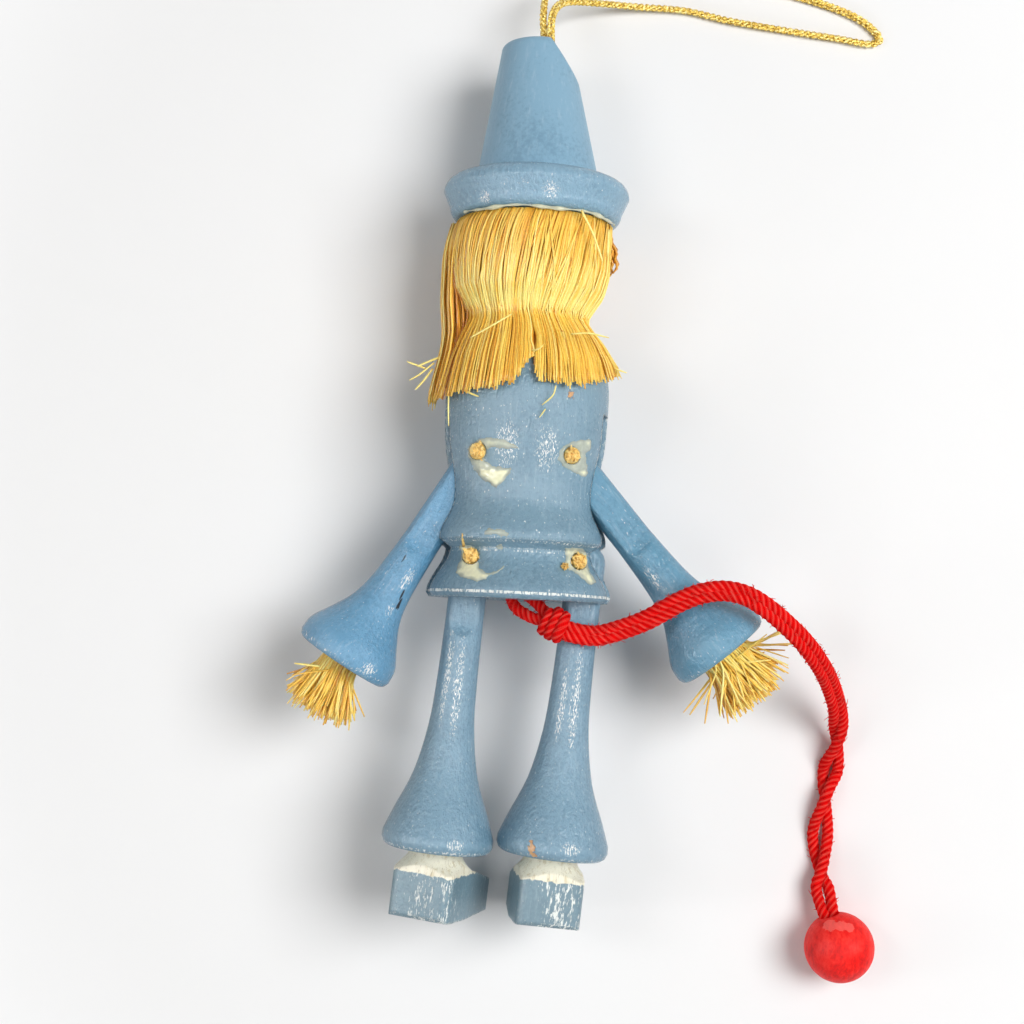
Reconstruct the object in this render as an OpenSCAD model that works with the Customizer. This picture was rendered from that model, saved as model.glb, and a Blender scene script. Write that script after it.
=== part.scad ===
// A turned wooden doll that jumps when its string is pulled. It lies face down: X runs across the doll,
// Y towards its head and Z up out of its back. Lengths are millimetres.

/* [Coat body] */
// Length of the turned body, from the neck seat to the hem
body_len = 48.2; // [40:0.1:60]
// Radius of the flat neck seat
neck_r = 5.6; // [4.5:0.1:6.5]
// Radius at the chest
chest_r = 13.85; // [12.5:0.05:15]
// Radius at the waist
waist_r = 12.4; // [11.4:0.05:12.8]
// Radius at the belt ridge
belt_r = 14.4; // [13.6:0.05:15]
// Radius in the groove under the belt
groove_r = 12.6; // [11.8:0.05:13.1]
// Radius at the hem of the coat
hem_r = 15.6; // [14.8:0.05:17]

/* [Saw slot] */
// Width of the slot that the limbs swing in
slot_w = 5; // [4.8:0.1:6]
// Height of the slot's front wall behind the turning axis
slot_low = 0; // [-1:0.1:1]
// Clearance between a tongue and each wall of the slot
slot_play = 0.2; // [0.1:0.05:0.4]

/* [Head] */
// Radius of the turned head
head_r = 11.6; // [10.8:0.1:11.9]
// Distance from the brim's middle plane down to the head's centre
head_z = 12.3; // [11.8:0.1:13]
// Radius of the button nose
nose_r = 1.9; // [1.4:0.1:2.2]

/* [Hat] */
// Radius of the brim
brim_r = 15.9; // [15.2:0.1:17]
// Height of the brim
brim_h = 7.2; // [6:0.1:9]
// Radius of the crown at the brim
crown_r = 10.6; // [9.5:0.1:11]
// Radius of the crown at its top
crown_top_r = 6.1; // [5:0.1:7.5]
// Height of the crown
crown_h = 24.2; // [22:0.1:30]
// Lean of the crown to the left
crown_lean = 2.7; // [0:0.1:4]

/* [Pivot pegs] */
// Radius of a pivot peg
peg_r = 1.35; // [1.1:0.05:1.6]
// Clearance between a peg and the tongue that turns on it
peg_play = 0.08; // [0.03:0.01:0.1]
// How far a peg stands out of the back
peg_proud = 0.9; // [0.4:0.1:1.5]

/* [Arms] */
// Distance of the shoulder pegs from the middle of the doll
shoulder_out = 7.7; // [7.4:0.1:8.2]
// Distance of the shoulder pegs below the brim's middle plane
shoulder_z = 46.8; // [45:0.1:48]
// Length of an arm from its peg to the cuff's end
arm_len = 41.4; // [38:0.1:46]
// Radius of an arm's shaft
arm_shaft_r = 3.2; // [2.9:0.05:3.4]
// Radius of the cuff
cuff_r = 8.6; // [7.5:0.1:9.4]
// Length of the string lever above the shoulder peg
arm_lever = 5.4; // [4.8:0.1:5.6]
// Length of an arm that is planed flat, from its peg
arm_planed = 17.2; // [16.8:0.1:20]
// Angle of the left arm away from the body
left_arm_angle = 31; // [30:1:44]
// Angle of the right arm away from the body
right_arm_angle = 41; // [30:1:44]

/* [Legs] */
// Distance of the left hip peg from the middle of the doll
left_hip_out = 8; // [7.8:0.1:8.6]
// Distance of the right hip peg from the middle of the doll
right_hip_out = 9.7; // [9.4:0.1:9.9]
// Distance of the hip pegs below the brim's middle plane
hip_z = 64; // [63:0.1:65]
// Length of a leg from its peg to the bell's end
leg_len = 48.6; // [44:0.1:56]
// Radius of a leg's shaft
leg_shaft_r = 3.2; // [2.9:0.05:3.4]
// Radius of the bell bottom
bell_r = 9.25; // [8:0.05:9.3]
// Length of the string ear beside the hip peg
leg_lever = 5.6; // [5:0.1:5.8]
// Length of a leg that is planed flat, from its peg
leg_planed = 10.6; // [10.4:0.1:13]
// Angle of the left leg away from the body
left_leg_angle = 4.2; // [4:0.1:7]
// Angle of the right leg, measured inwards
right_leg_angle = 4.4; // [3:0.1:4.5]
// Distance of the right leg's peg hole from the leg's own axis
right_hole_off = 1.5; // [0:0.1:1.6]

/* [Feet] */
// Radius of the sock where it leaves the bell
sock_r = 4.3; // [3.6:0.1:5]
// Length of the sock from the bell to the shoe
sock_h = 3.4; // [2.5:0.1:5]
// Height of the shoe
shoe_h = 7.7; // [6:0.1:10]
// Width of the shoe at its heel
shoe_w = 10.8; // [9.5:0.1:12]
// Distance of the flat heel behind the leg's axis
heel_back = 5.5; // [5:0.1:7]
// Radius of the rounded toe
toe_r = 4.2; // [3.6:0.1:4.8]
// Turn of the left shoe about its leg
left_shoe_angle = 20; // [0:1:25]
// Turn of the right shoe about its leg
right_shoe_angle = 8; // [0:1:15]

/* [Straw] */
// Half thickness of one straw fibre
straw_r = 0.24; // [0.15:0.01:0.25]
// Radius of the hair where it swells over the head
hair_swell_r = 13.4; // [13.2:0.1:14]
// Radius of the hair where it is pinched at the neck
hair_neck_r = 10.6; // [10.4:0.1:12]
// How far the tips of the hair stand off the chest
hair_flare = 1.45; // [1.3:0.05:2.6]
// Length of the back hair below the brim
hair_len = 29.6; // [26:0.1:32]
// Length of the straw hands past the cuff
hand_len = 8.4; // [6:0.1:11]

/* [Strings] */
// Radius of each strand of the red pull cord
strand_r = 0.85; // [0.6:0.05:0.85]
// Radius of the gold cord of the hanging loop
gold_r = 0.75; // [0.5:0.05:0.75]
// Radius of the thin strings inside the slot
string_r = 0.4; // [0.25:0.05:0.4]
// Radius of the pull ball
ball_r = 6; // [5:0.1:6]

/* [Hidden] */
$fn = 72;

// Colours of the paints, the straw and the cords
hat_blue = "#6ea0c8";
coat_blue = "#7d9bb4";
limb_blue = "#739fc2";
straw = "#f0be50";
bare_wood = "#ebbe64";
cream = "#f0e6cd";
glue_white = "#e1e6dc";

// Overrun of every cut and the gap left between glued pieces
over = 1;
glue_gap = 0.02;

// Place of the doll's turning axis, so that the origin lies under the middle of the whole doll
axis_x = -3.2;
axis_y = 49.6;
axis_h = max(hem_r, brim_r);

// Heights along the doll, counted down from the brim's middle plane
brim_top_z = -brim_h / 8;
brim_low_z = brim_top_z + brim_h;
neck_z = head_z + sqrt(head_r * head_r - neck_r * neck_r);
hem_z = neck_z + body_len;
slot_mid = slot_low + slot_w / 2;
tongue_t = slot_w - 2 * slot_play;
lever_t = tongue_t / 2;
eye_r = arm_shaft_r * 0.6;
eye_hole_r = string_r + slot_play;
slot_top_z = shoulder_z - arm_lever - eye_r - 2 * slot_play;

// The straw is rooted in a band that runs round under the brim
hair_reach = 98;
hair_shift = -0.8;
band_r = head_r * 0.06;
band_ring_r = head_r + 2 * band_r;
root_z = brim_low_z + glue_gap + band_r;

// Outline of the body as shares of its length and of the steps in radius
shoulder_shares = [[0, 0], [0.02, 0.3], [0.06, 0.54], [0.11, 0.75], [0.17, 0.9], [0.25, 1]];
waist_shares = [[0.36, 0.02], [0.46, 0.2], [0.53, 0.6], [0.6, 0.96], [0.66, 1]];
flank_shares = [[0.7, 0.22], [0.74, 0.66], [0.775, 0.97], [0.8, 1]];
hem_shares = [[0.83, 0], [0.87, 0.16], [0.92, 0.62], [0.96, 0.93], [0.985, 1]];

// Outlines of the bell and the cuff as shares of the flare's length and of the step in radius
bell_shares = [[0, 0], [0.28, 0.03], [0.5, 0.11], [0.72, 0.36], [0.9, 0.78], [1, 1]];
cuff_shares = [[0, 0], [0.39, 0.09], [0.61, 0.26], [0.78, 0.6], [0.92, 0.93], [1, 1]];
rim_shares = [[0.45, 0.03], [0.8, -0.22], [0.97, -0.6], [1, -1]];

// Route of the pull cord: across, along, up, and half the strands' distance in strand radii
pull_route = [[-2.9, -17.6, 19.3, 1.05], [-2.8, -20.8, 19, 1.9], [-0.6, -22.6, 19.9, 1.7],
    [1.4, -23.8, 21.2, 1.05], [3, -24.8, 22.4, 1.05], [4.6, -25.6, 23.3, 1.05], [6.6, -26.2, 23.7, 1.05],
    [10, -26.4, 23.6, 1.05], [14, -25.2, 24.1, 1.05], [18.3, -23.3, 25.1, 1.05],
    [22.6, -20.6, 26.1, 1.05], [26.2, -18.9, 27, 1.05], [30, -18.2, 27.9, 1.05],
    [33.6, -18.8, 28.5, 1.05], [37, -20.6, 28.4, 1.05], [40.6, -23.2, 27, 1.05], [44.2, -26.2, 24.6, 1.05],
    [48, -30, 19.3, 1.05], [51, -33.7, 12.8, 1.05], [53.2, -38, 7.4, 1.05], [53.8, -42.6, 3.6, 1.3],
    [53.5, -47.6, 0.9, 1.65], [52.5, -52.4, 2.1, 1.3], [52, -59, 0.9, 1.75], [52.1, -65.5, 2.1, 1.3],
    [52.4, -69, 3.2, 1.5], [53.6, -74, 5.4, 1.05], [55, -78, 6, 1.05]];

// Below this point the strands turn round each other, a quarter turn from point to point
twist_from = 19;
twist_quarters = 6;

// Route of the gold loop, out of the crown, across the table and back
loop_route = [[-1.7, 69.4, 16.5], [-2, 75.4, 16.5], [-2, 80.2, 14.9], [-0.8, 84, 11],
    [1.6, 85.9, 7.8], [6, 87.1, 4.4], [14, 87.8, 1.6], [22.3, 87.8, 0.8], [30.5, 86.3, 0.8],
    [41.5, 84.9, 0.8], [50.5, 83.9, 0.8], [55.6, 83.2, 0.8], [57.8, 83.9, 0.8], [56.6, 85.8, 0.8],
    [53.2, 88.1, 0.8], [47, 90.3, 0.8], [37.6, 92.6, 0.8], [28, 94.6, 0.8], [17.3, 95.6, 1.2],
    [8, 94.8, 3], [1, 91.4, 6.2], [-2.8, 86.8, 9.6], [-3.5, 81.4, 13.2], [-3.1, 75.4, 15.3],
    [-2.8, 69.4, 15.3]];

// Points of a smooth curve through the given ones, with so many steps between two of them
function bend(a, b, c, d, t) = (2 * b + (c - a) * t + (2 * a - 5 * b + 4 * c - d) * t * t
    + (3 * b - a - 3 * c + d) * t * t * t) / 2;
function smooth(pts, steps = 5) = [
    for (i = [0 : len(pts) - 2])
        for (k = [0 : steps - 1])
            bend(pts[max(i - 1, 0)], pts[i], pts[i + 1], pts[min(i + 2, len(pts) - 1)], k / steps),
    pts[len(pts) - 1]];

// Outline points from a table of shares: how far along from start, and how far from radius a to b
function along(shares, start, length, a, b) = [for (p = shares) [a + (b - a) * p[1], start + length * p[0]]];

// A round-cornered outline point list around a corner, quarter by quarter
function quarter(cx, cz, r, from) = [for (k = [0 : 6]) [cx + r * cos(from + 15 * k), cz + r * sin(from + 15 * k)]];

// A closed tube of triangles along a route, whose rings face each other along the up vector
function unit(v) = v / norm(v);
function heading(route, i) = unit(route[min(i + 1, len(route) - 1)] - route[max(i - 1, 0)]);
function ring(route, i, r, sides, up) =
    let (t = heading(route, i), a = unit(cross(t, up)), b = cross(a, t))
        [for (k = [0 : sides - 1]) route[i] + r * (cos(360 * k / sides) * a + sin(360 * k / sides) * b)];
module tube(route, r, sides, up = [0, 0, 1]) {
    last = len(route) - 1;
    points = [for (i = [0 : last]) each ring(route, i, r, sides, up)];
    walls = [for (i = [0 : last - 1]) for (k = [0 : sides - 1])
        let (a = i * sides + k, b = i * sides + (k + 1) % sides)
            each [[a, b, b + sides], [a, b + sides, a + sides]]];
    caps = [for (k = [1 : sides - 2]) each [[0, k + 1, k], [last * sides, last * sides + k, last * sides + k + 1]]];
    polyhedron(points = points, faces = concat(walls, caps));
}

// A three-sided fibre of straw along a route, with a pointed tip
module fibre(route, up) {
    last = len(route) - 1;
    points = concat([for (i = [0 : last - 1]) each ring(route, i, straw_r, 3, up)], [route[last]]);
    walls = [for (i = [0 : 1 : last - 2]) for (k = [0 : 2])
        let (a = 3 * i + k, b = 3 * i + (k + 1) % 3)
            each [[a, b, b + 3], [a, b + 3, a + 3]]];
    tip = [for (k = [0 : 2]) [3 * last - 3 + k, 3 * last - 3 + (k + 1) % 3, 3 * last]];
    polyhedron(points = points, faces = concat(walls, tip, [[0, 2, 1]]));
}

// The doll's own frame: X across, Y out of its back, Z down the doll from the brim
module laid() {
    translate([axis_x, axis_y, axis_h]) rotate([90, 0, 0]) children();
}

// A limb's frame: Z runs out along the limb from its peg
module swung(across, down, angle) {
    laid() translate([across, slot_mid, down]) rotate([0, angle, 0]) children();
}

// A shape turned on the lathe from its outline
module turned(outline) {
    rotate_extrude() polygon(outline);
}

// A drilled hole or a peg across the doll, from one height out of the back to another
module across_back(x, z, r, low, high) {
    translate([x, low, z]) rotate([-90, 0, 0]) cylinder(r = r, h = high - low);
}

// Pegs start in the front half and end proud of the back
peg_low = -waist_r / 2;
function back_of(x, r) = sqrt(r * r - x * x);
shoulder_back = back_of(shoulder_out, chest_r - (chest_r - waist_r) / 3);
left_hip_back = back_of(left_hip_out, groove_r * 1.025);
right_hip_back = back_of(right_hip_out, groove_r * 1.025);

// Hat

crown_round = crown_top_r / 5;
// The leaning crown is turned longer than it stands and sawn off level with the brim
crown_sunk = crown_r / 10;
crown_low_r = crown_r + crown_sunk * (crown_r - crown_top_r) / crown_h;
loop_hole_r = 2 * gold_r + slot_play;
loop_hole_depth = crown_h / 3;
loop_hole_off = crown_top_r * 0.3;

module hat_crown() {
    rim = quarter(crown_top_r - crown_round, crown_h - crown_round, crown_round, 0);
    color(hat_blue) laid() difference() {
        translate([0, 0, brim_top_z - glue_gap]) rotate([0, crown_lean, 0]) mirror([0, 0, 1]) difference() {
            turned(concat([[0, -crown_sunk], [crown_low_r, -crown_sunk]], rim, [[0, crown_h]]));
            crown_slant();
            translate([loop_hole_off, 0, crown_h - loop_hole_depth]) cylinder(r = loop_hole_r, h = crown_h);
        }
        translate([-brim_r, -brim_r, brim_top_z - glue_gap]) cube([2 * brim_r, 2 * brim_r, brim_h]);
    }
}

// The slanting cut that takes the crown's top right corner off
slant_angle = 35;
slant_start = crown_top_r * 0.34;
module crown_slant() {
    translate([slant_start, 0, crown_h]) rotate([0, -slant_angle, 0])
        translate([0, -crown_h / 2, -crown_h]) cube([crown_h, crown_h, 2 * crown_h]);
}

brim_top_round = brim_h * 0.32;
brim_low_round = brim_h * 0.3;
brim_low_c = brim_r - brim_low_round - brim_h / 6;
brim_low_z_c = brim_low_z - brim_low_round;
module hat_brim() {
    color(hat_blue) laid() turned(concat(
        [[0, brim_top_z]],
        quarter(brim_r - brim_top_round, brim_top_z + brim_top_round, brim_top_round, -90),
        quarter(brim_low_c, brim_low_z_c, brim_low_round, 0),
        [[0, brim_low_z]]));
}

// Bead of glue in the corner between the brim and the band of straw
glue_bead_r = 0.5;
glue_ring_r = band_ring_r + band_r + glue_gap + glue_bead_r;
glue_ring_z = brim_low_z_c + sqrt(pow(brim_low_round + glue_bead_r + glue_gap, 2)
    - pow(max(0, glue_ring_r - brim_low_c), 2));
module hat_glue() {
    color(glue_white) laid() translate([0, 0, glue_ring_z]) rotate([0, 0, -hair_reach / 12])
        rotate_extrude(angle = 3 * hair_reach / 2) translate([glue_ring_r, 0]) circle(r = glue_bead_r);
}

// Head

dowel_r = neck_r * 0.36;
dowel_half = head_r * 0.55;
module head() {
    seat_r = sqrt(head_r * head_r - pow(head_z - brim_low_z, 2));
    top_a = asin((brim_low_z + glue_gap - head_z) / head_r);
    low_a = acos(neck_r / head_r);
    outline = [for (k = [0 : 24]) let (a = top_a + (low_a - top_a) * k / 24)
        [head_r * cos(a), head_z + head_r * sin(a)]];
    color(cream) laid() difference() {
        turned(concat([[0, outline[0][1]]], outline, [[0, outline[24][1]]]));
        translate([0, 0, neck_z - dowel_half]) cylinder(r = dowel_r + glue_gap, h = 2 * dowel_half);
        translate([0, -nose_seat_y, nose_z]) rotate([90, 0, 0]) cylinder(r = nose_peg_r + glue_gap, h = head_r);
    }
}

// Button nose on a short peg in the face
nose_z = head_z + nose_r / 2;
nose_peg_r = nose_r / 2;
nose_seat_y = head_r - 2 * nose_r;
nose_gap = 0.3;
module nose() {
    low = -axis_h + nose_gap;
    color(bare_wood) laid() {
        translate([0, low + nose_r, nose_z]) sphere(r = nose_r);
        translate([0, -nose_seat_y - glue_gap, nose_z]) rotate([90, 0, 0])
            cylinder(r = nose_peg_r, h = axis_h - nose_gap - nose_r - nose_seat_y);
    }
}

module neck_dowel() {
    color(bare_wood) laid() translate([0, 0, neck_z - dowel_half + glue_gap])
        cylinder(r = dowel_r, h = 2 * dowel_half - 2 * glue_gap);
}

// Straw

module root_band(radius, from, to, segments) {
    for (i = [0 : segments - 1])
        hull()
            for (k = [i, i + 1])
                rotate([0, 0, -(from + (to - from) * k / segments)]) translate([0, radius, root_z])
                    cube([band_r, 2 * band_r, 2 * band_r], center = true);
}

// One fibre that hangs at an angle round the head, through points of height, radius and share of the shift
module hanging_fibre(angle, path) {
    fibre([for (p = path) [p[1] * sin(angle) + hair_shift * p[2], p[1] * cos(angle), p[0]]],
        [sin(angle), cos(angle), 0]);
}

hair_tip_r = chest_r + hair_flare;
function hair_path(depth, trim) = [
    [root_z, band_ring_r + straw_r - depth / 2, 0],
    [head_z + head_r / 4, hair_swell_r - depth, 1],
    [neck_z - straw_r, hair_neck_r - depth, 0.5],
    [neck_z + body_len / 7, hair_tip_r - depth - head_r * 0.12, 0],
    [brim_low_z + hair_len - trim, hair_tip_r - depth, 0]];

// Fibres and depth of the outer and the inner row
hair_rows = [[72, 0], [58, 0.6]];
notch_angle = 1;
notch_width = 6;
module back_hair() {
    color(straw) laid() union() {
        root_band(band_ring_r, -hair_reach, hair_reach, 14);
        for (row = hair_rows)
            for (i = [0 : row[0] - 1]) {
                angle = (hair_reach - 1 - row[1]) * (2 * i / (row[0] - 1) - 1);
                notch = max(0, 1 - abs(angle - notch_angle) / notch_width) * hair_len / 7;
                ragged = hair_len / 60 * (sin(137 * i) + sin(61 * i + 40));
                hanging_fibre(angle, hair_path(row[1], notch + ragged));
            }
    }
}

// A loose lock down the doll's left side, over the back hair
lock_ring_r = band_ring_r + 2.1 * band_r;
lock_count = 14;
module side_lock() {
    tip_z = brim_low_z + hair_len;
    color(straw) laid() union() {
        root_band(lock_ring_r, -hair_reach - 5, 25 - hair_reach, 9);
        for (i = [0 : lock_count - 1])
            hanging_fibre(-hair_reach - 4 + 28 * i / (lock_count - 1), [[root_z, lock_ring_r, 0],
                [head_z + head_r / 4, lock_ring_r * 1.06, 0], [neck_z + body_len / 12, lock_ring_r * 1.02, 0],
                [tip_z + sin(100 * i), lock_ring_r * 1.13, 0]]);
    }
}

// Short hair over the forehead
fringe_count = 44;
fringe_reach = 68;
module fringe() {
    color(straw) laid() union() {
        root_band(band_ring_r, 180 - fringe_reach, 180 + fringe_reach, 10);
        for (i = [0 : fringe_count - 1]) {
            tip_z = root_z + head_r / 4 * (1 + sin(97 * i) / 7);
            hanging_fibre(180 + (fringe_reach - 1) * (2 * i / (fringe_count - 1) - 1),
                [[root_z, band_ring_r, 0], [tip_z, band_ring_r, 0]]);
        }
    }
}

// Body

coat_upper = smooth(concat(
    along(shoulder_shares, neck_z, body_len, neck_r, chest_r),
    along(waist_shares, neck_z, body_len, chest_r, waist_r),
    along(flank_shares, neck_z, body_len, waist_r, belt_r)), 3);
coat_lower = smooth(along(hem_shares, neck_z, body_len, groove_r, hem_r), 3);

// The coat's outline, thicker all round by grow
module coat_skin(grow) {
    edge_r = hem_r - belt_r / 30;
    turned(concat([[0, neck_z]], [for (p = concat(coat_upper, coat_lower, [[edge_r, hem_z]])) [p[0] + grow, p[1]]],
        [[0, hem_z]]));
}

module coat_body() {
    color(coat_blue) laid() difference() {
        coat_skin(0);
        translate([-hem_r - over, slot_low, slot_top_z])
            cube([2 * (hem_r + over), slot_w, hem_z - slot_top_z + over]);
        translate([0, 0, neck_z - over]) cylinder(r = dowel_r + glue_gap, h = dowel_half + over);
        for (x = [-shoulder_out, shoulder_out])
            across_back(x, shoulder_z, peg_r + glue_gap, peg_low - glue_gap, hem_r);
        across_back(-left_hip_out, hip_z, peg_r + glue_gap, peg_low - glue_gap, hem_r);
        across_back(right_hip_out, hip_z, peg_r + glue_gap, peg_low - glue_gap, hem_r);
    }
}

// Limbs

// A turned limb with its inner end planed flat on both sides to a scooped shoulder, then drilled
scoop_r = 4;
scoop_dip = 0.05;
module planed(shoulder, reach) {
    difference() {
        children();
        for (side = [-1, 1]) {
            translate([-reach, side * (tongue_t / 2 + reach / 2) - reach / 2, -reach])
                cube([2 * reach, reach, reach + shoulder]);
            translate([-reach, side * (tongue_t / 2 + scoop_r - scoop_dip), shoulder]) rotate([0, 90, 0])
                cylinder(r = scoop_r, h = 2 * reach);
        }
        translate([0, reach, 0]) rotate([90, 0, 0]) cylinder(r = peg_r + peg_play, h = 2 * reach);
    }
}

// Outline of a limb: a round inner end, a straight shaft, the flare and a rounded rim round its end hole
function limb_outline(inner_r, inner_z, shaft_r, flare_z, length, end_r, shares, hole_r, hole_depth) =
    let (rim = end_r * 0.26, flat = length - rim) concat(
        [for (k = [0 : 5]) [inner_r * sin(15 * k), inner_z - inner_r * cos(15 * k)]],
        [[inner_r, inner_z], [shaft_r, shaft_r / 2]],
        smooth(along(shares, flare_z, flat - flare_z, shaft_r, end_r), 4),
        [for (p = rim_shares) [end_r + rim * p[1] * 0.6, flat + rim * p[0]]],
        [[hole_r, length], [hole_r, length - hole_depth], [0, length - hole_depth]]);

hand_hole_r = cuff_r * 0.45;
hand_hole_depth = cuff_r * 0.5;
module arm() {
    color(limb_blue) difference() {
        planed(arm_planed, arm_planed)
            turned(limb_outline(eye_r, -arm_lever, arm_shaft_r, arm_planed, arm_len, cuff_r, cuff_shares,
                hand_hole_r, hand_hole_depth));
        for (side = [-1, 1])
            translate([-arm_shaft_r, side * (lever_t / 2 + tongue_t) - tongue_t, -2 * arm_lever])
                cube([2 * arm_shaft_r, 2 * tongue_t, 2 * arm_lever - peg_r - peg_play - slot_play]);
        eye_hole(0, -arm_lever);
    }
}

// Hole for a thin string through a lever
module eye_hole(x, z) {
    translate([x, tongue_t, z]) rotate([90, 0, 0]) cylinder(r = eye_hole_r, h = 2 * tongue_t);
}

module left_arm() {
    swung(-shoulder_out, shoulder_z, -left_arm_angle) arm();
}

module right_arm() {
    swung(shoulder_out, shoulder_z, right_arm_angle) arm();
}

tenon_r = sock_r * 0.7;
tenon_h = sock_r;
ear_r = leg_shaft_r * 0.53;
// A leg whose ear points across towards the middle of the doll; hole_off moves the leg's axis outwards
module leg(ear_side, hole_off) {
    tip = [ear_side * leg_lever * cos(ear_rise), -leg_lever * sin(ear_rise)];
    color(limb_blue) difference() {
        union() {
            planed(leg_planed, leg_planed) translate([-ear_side * hole_off, 0, 0])
                turned(limb_outline(leg_shaft_r, -leg_shaft_r / 32, leg_shaft_r, leg_planed, leg_len, bell_r, bell_shares,
                    tenon_r + glue_gap, tenon_h));
            rotate([90, 0, 0]) linear_extrude(height = lever_t, center = true) ear_plate(tip);
        }
        translate([0, tongue_t, 0]) rotate([90, 0, 0]) cylinder(r = peg_r + peg_play, h = 2 * tongue_t);
        eye_hole(tip[0], tip[1]);
    }
}

ear_rise = 20;
// Flat plate from the peg to the string hole, with a round end
module ear_plate(tip) {
    across = [tip[1], -tip[0]] / norm(tip);
    root_r = leg_shaft_r * 0.9;
    circle(r = root_r);
    translate(tip) circle(r = ear_r);
    polygon([across * root_r * 0.98, tip + across * ear_r * 0.98, tip - across * ear_r * 0.98, -across * root_r * 0.98]);
}

module left_leg() {
    swung(-left_hip_out, hip_z, -left_leg_angle) leg(1, 0);
}

module right_leg() {
    swung(right_hip_out, hip_z, -right_leg_angle) leg(-1, right_hole_off);
}

// Straw hand glued in the cuff: a plug with fibres that spread out of it
hand_fibres = 56;
module hand(seed) {
    root_r = hand_hole_r * 0.8;
    start = arm_len - hand_hole_depth + glue_gap;
    plug_h = hand_hole_depth / 2;
    color(straw) union() {
        translate([0, 0, start]) cylinder(r = hand_hole_r - glue_gap, h = plug_h, $fn = 24);
        for (i = [0 : 9])
            hull()
                for (a = [36 * i, 36 * i + 36])
                    rotate([0, 0, a]) translate([root_r / 2, 0, start + plug_h]) cube(2 * straw_r, center = true);
        for (i = [0 : hand_fibres - 1]) {
            turn = 137.5 * i + seed;
            way = sqrt((i + 0.5) / hand_fibres) * root_r * [cos(turn), sin(turn), 0];
            reach = hand_len * (1 + sin(53 * i + seed) / 5);
            fibre([way + [0, 0, start + plug_h / 2], way * 1.75 + [0, 0, arm_len + reach]],
                [sin(turn), -cos(turn), 0]);
        }
    }
}

module left_hand() {
    swung(-shoulder_out, shoulder_z, -left_arm_angle) hand(0);
}

module right_hand() {
    swung(shoulder_out, shoulder_z, right_arm_angle) hand(70);
}

// Foot: a sock that flares onto a shoe with a flat heel, on a tenon in the leg
toe_front = axis_h + slot_mid;
function toe_mid(turn) = (toe_front - toe_r) / cos(turn);
module shoe_outline(turn) {
    half = shoe_w / 2;
    toe_y = -toe_mid(turn);
    heel_r = shoe_w * 0.15;
    polygon(concat(quarter(heel_r - half, heel_back - heel_r, heel_r, 90), [[-half, -heel_back / 2]],
        [for (k = [0 : 12]) [-toe_r * cos(15 * k), toe_y - toe_r * sin(15 * k)]],
        [[half, -heel_back / 2]], quarter(half - heel_r, heel_back - heel_r, heel_r, 0)));
}

module foot(turn) {
    top = leg_len + sock_h;
    flare_r = shoe_w * 0.64;
    color(cream) {
        translate([0, 0, leg_len - tenon_h + glue_gap]) cylinder(r = tenon_r, h = tenon_h + sock_h);
        intersection() {
            turned(concat([[0, leg_len + glue_gap], [sock_r, leg_len + glue_gap]],
                [for (k = [1 : 8]) [sock_r + (flare_r - sock_r) * pow(k / 8, 2), leg_len + sock_h * k / 8]],
                [[flare_r, top + shoe_h / 2], [0, top + shoe_h / 2]]));
            rotate([0, 0, turn]) linear_extrude(height = top + shoe_h) shoe_outline(turn);
        }
        rotate([0, 0, turn]) translate([0, 0, top]) intersection() {
            linear_extrude(height = shoe_h) shoe_outline(turn);
            shoe_side(-toe_mid(turn) - toe_r);
        }
    }
}

// Side view of the shoe, with the vamp falling to the toe
shoe_edge = 0.6;
module shoe_side(toe_y) {
    fall = shoe_h * 0.35;
    translate([-shoe_w, 0, 0]) rotate([90, 0, 90]) linear_extrude(height = 2 * shoe_w)
        polygon([[heel_back, 0], [heel_back, shoe_h - shoe_edge], [heel_back - shoe_edge, shoe_h],
            [toe_y + 2 * shoe_edge, shoe_h], [toe_y, shoe_h - 2 * shoe_edge],
            [toe_y, fall + shoe_edge], [toe_y + 2 * shoe_edge, fall], [-heel_back, 0]]);
}

module left_foot() {
    swung(-left_hip_out, hip_z, -left_leg_angle) foot(left_shoe_angle);
}

module right_foot() {
    swung(right_hip_out, hip_z, -right_leg_angle) translate([right_hole_off, 0, 0]) foot(-right_shoe_angle);
}

// Pegs

peg_tip = 0.5;
// A peg with a worn round end
module peg(x, z, back) {
    length = back + peg_proud - peg_low;
    color(bare_wood) laid() translate([x, peg_low, z]) rotate([-90, 0, 0])
        turned([[0, 0], [peg_r, 0], [peg_r, length - peg_tip], [peg_r * 0.8, length - peg_tip / 4], [0, length]]);
}

module left_arm_peg() {
    peg(-shoulder_out, shoulder_z, shoulder_back);
}

module right_arm_peg() {
    peg(shoulder_out, shoulder_z, shoulder_back);
}

module left_leg_peg() {
    peg(-left_hip_out, hip_z, left_hip_back);
}

module right_leg_peg() {
    peg(right_hip_out, hip_z, right_hip_back);
}

// Smears of glue on the back round the four pegs, each a round collar with a lobe that runs off it
smear_r = 2 * peg_r;
smear_t = 0.45;
module smear(x, z, lobe_x, lobe_z) {
    across_back(x, z, smear_r, 0, 2 * hem_r);
    across_back(x + lobe_x * smear_r, z + lobe_z * smear_r, smear_r * 0.75, 0, 2 * hem_r);
}

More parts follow.
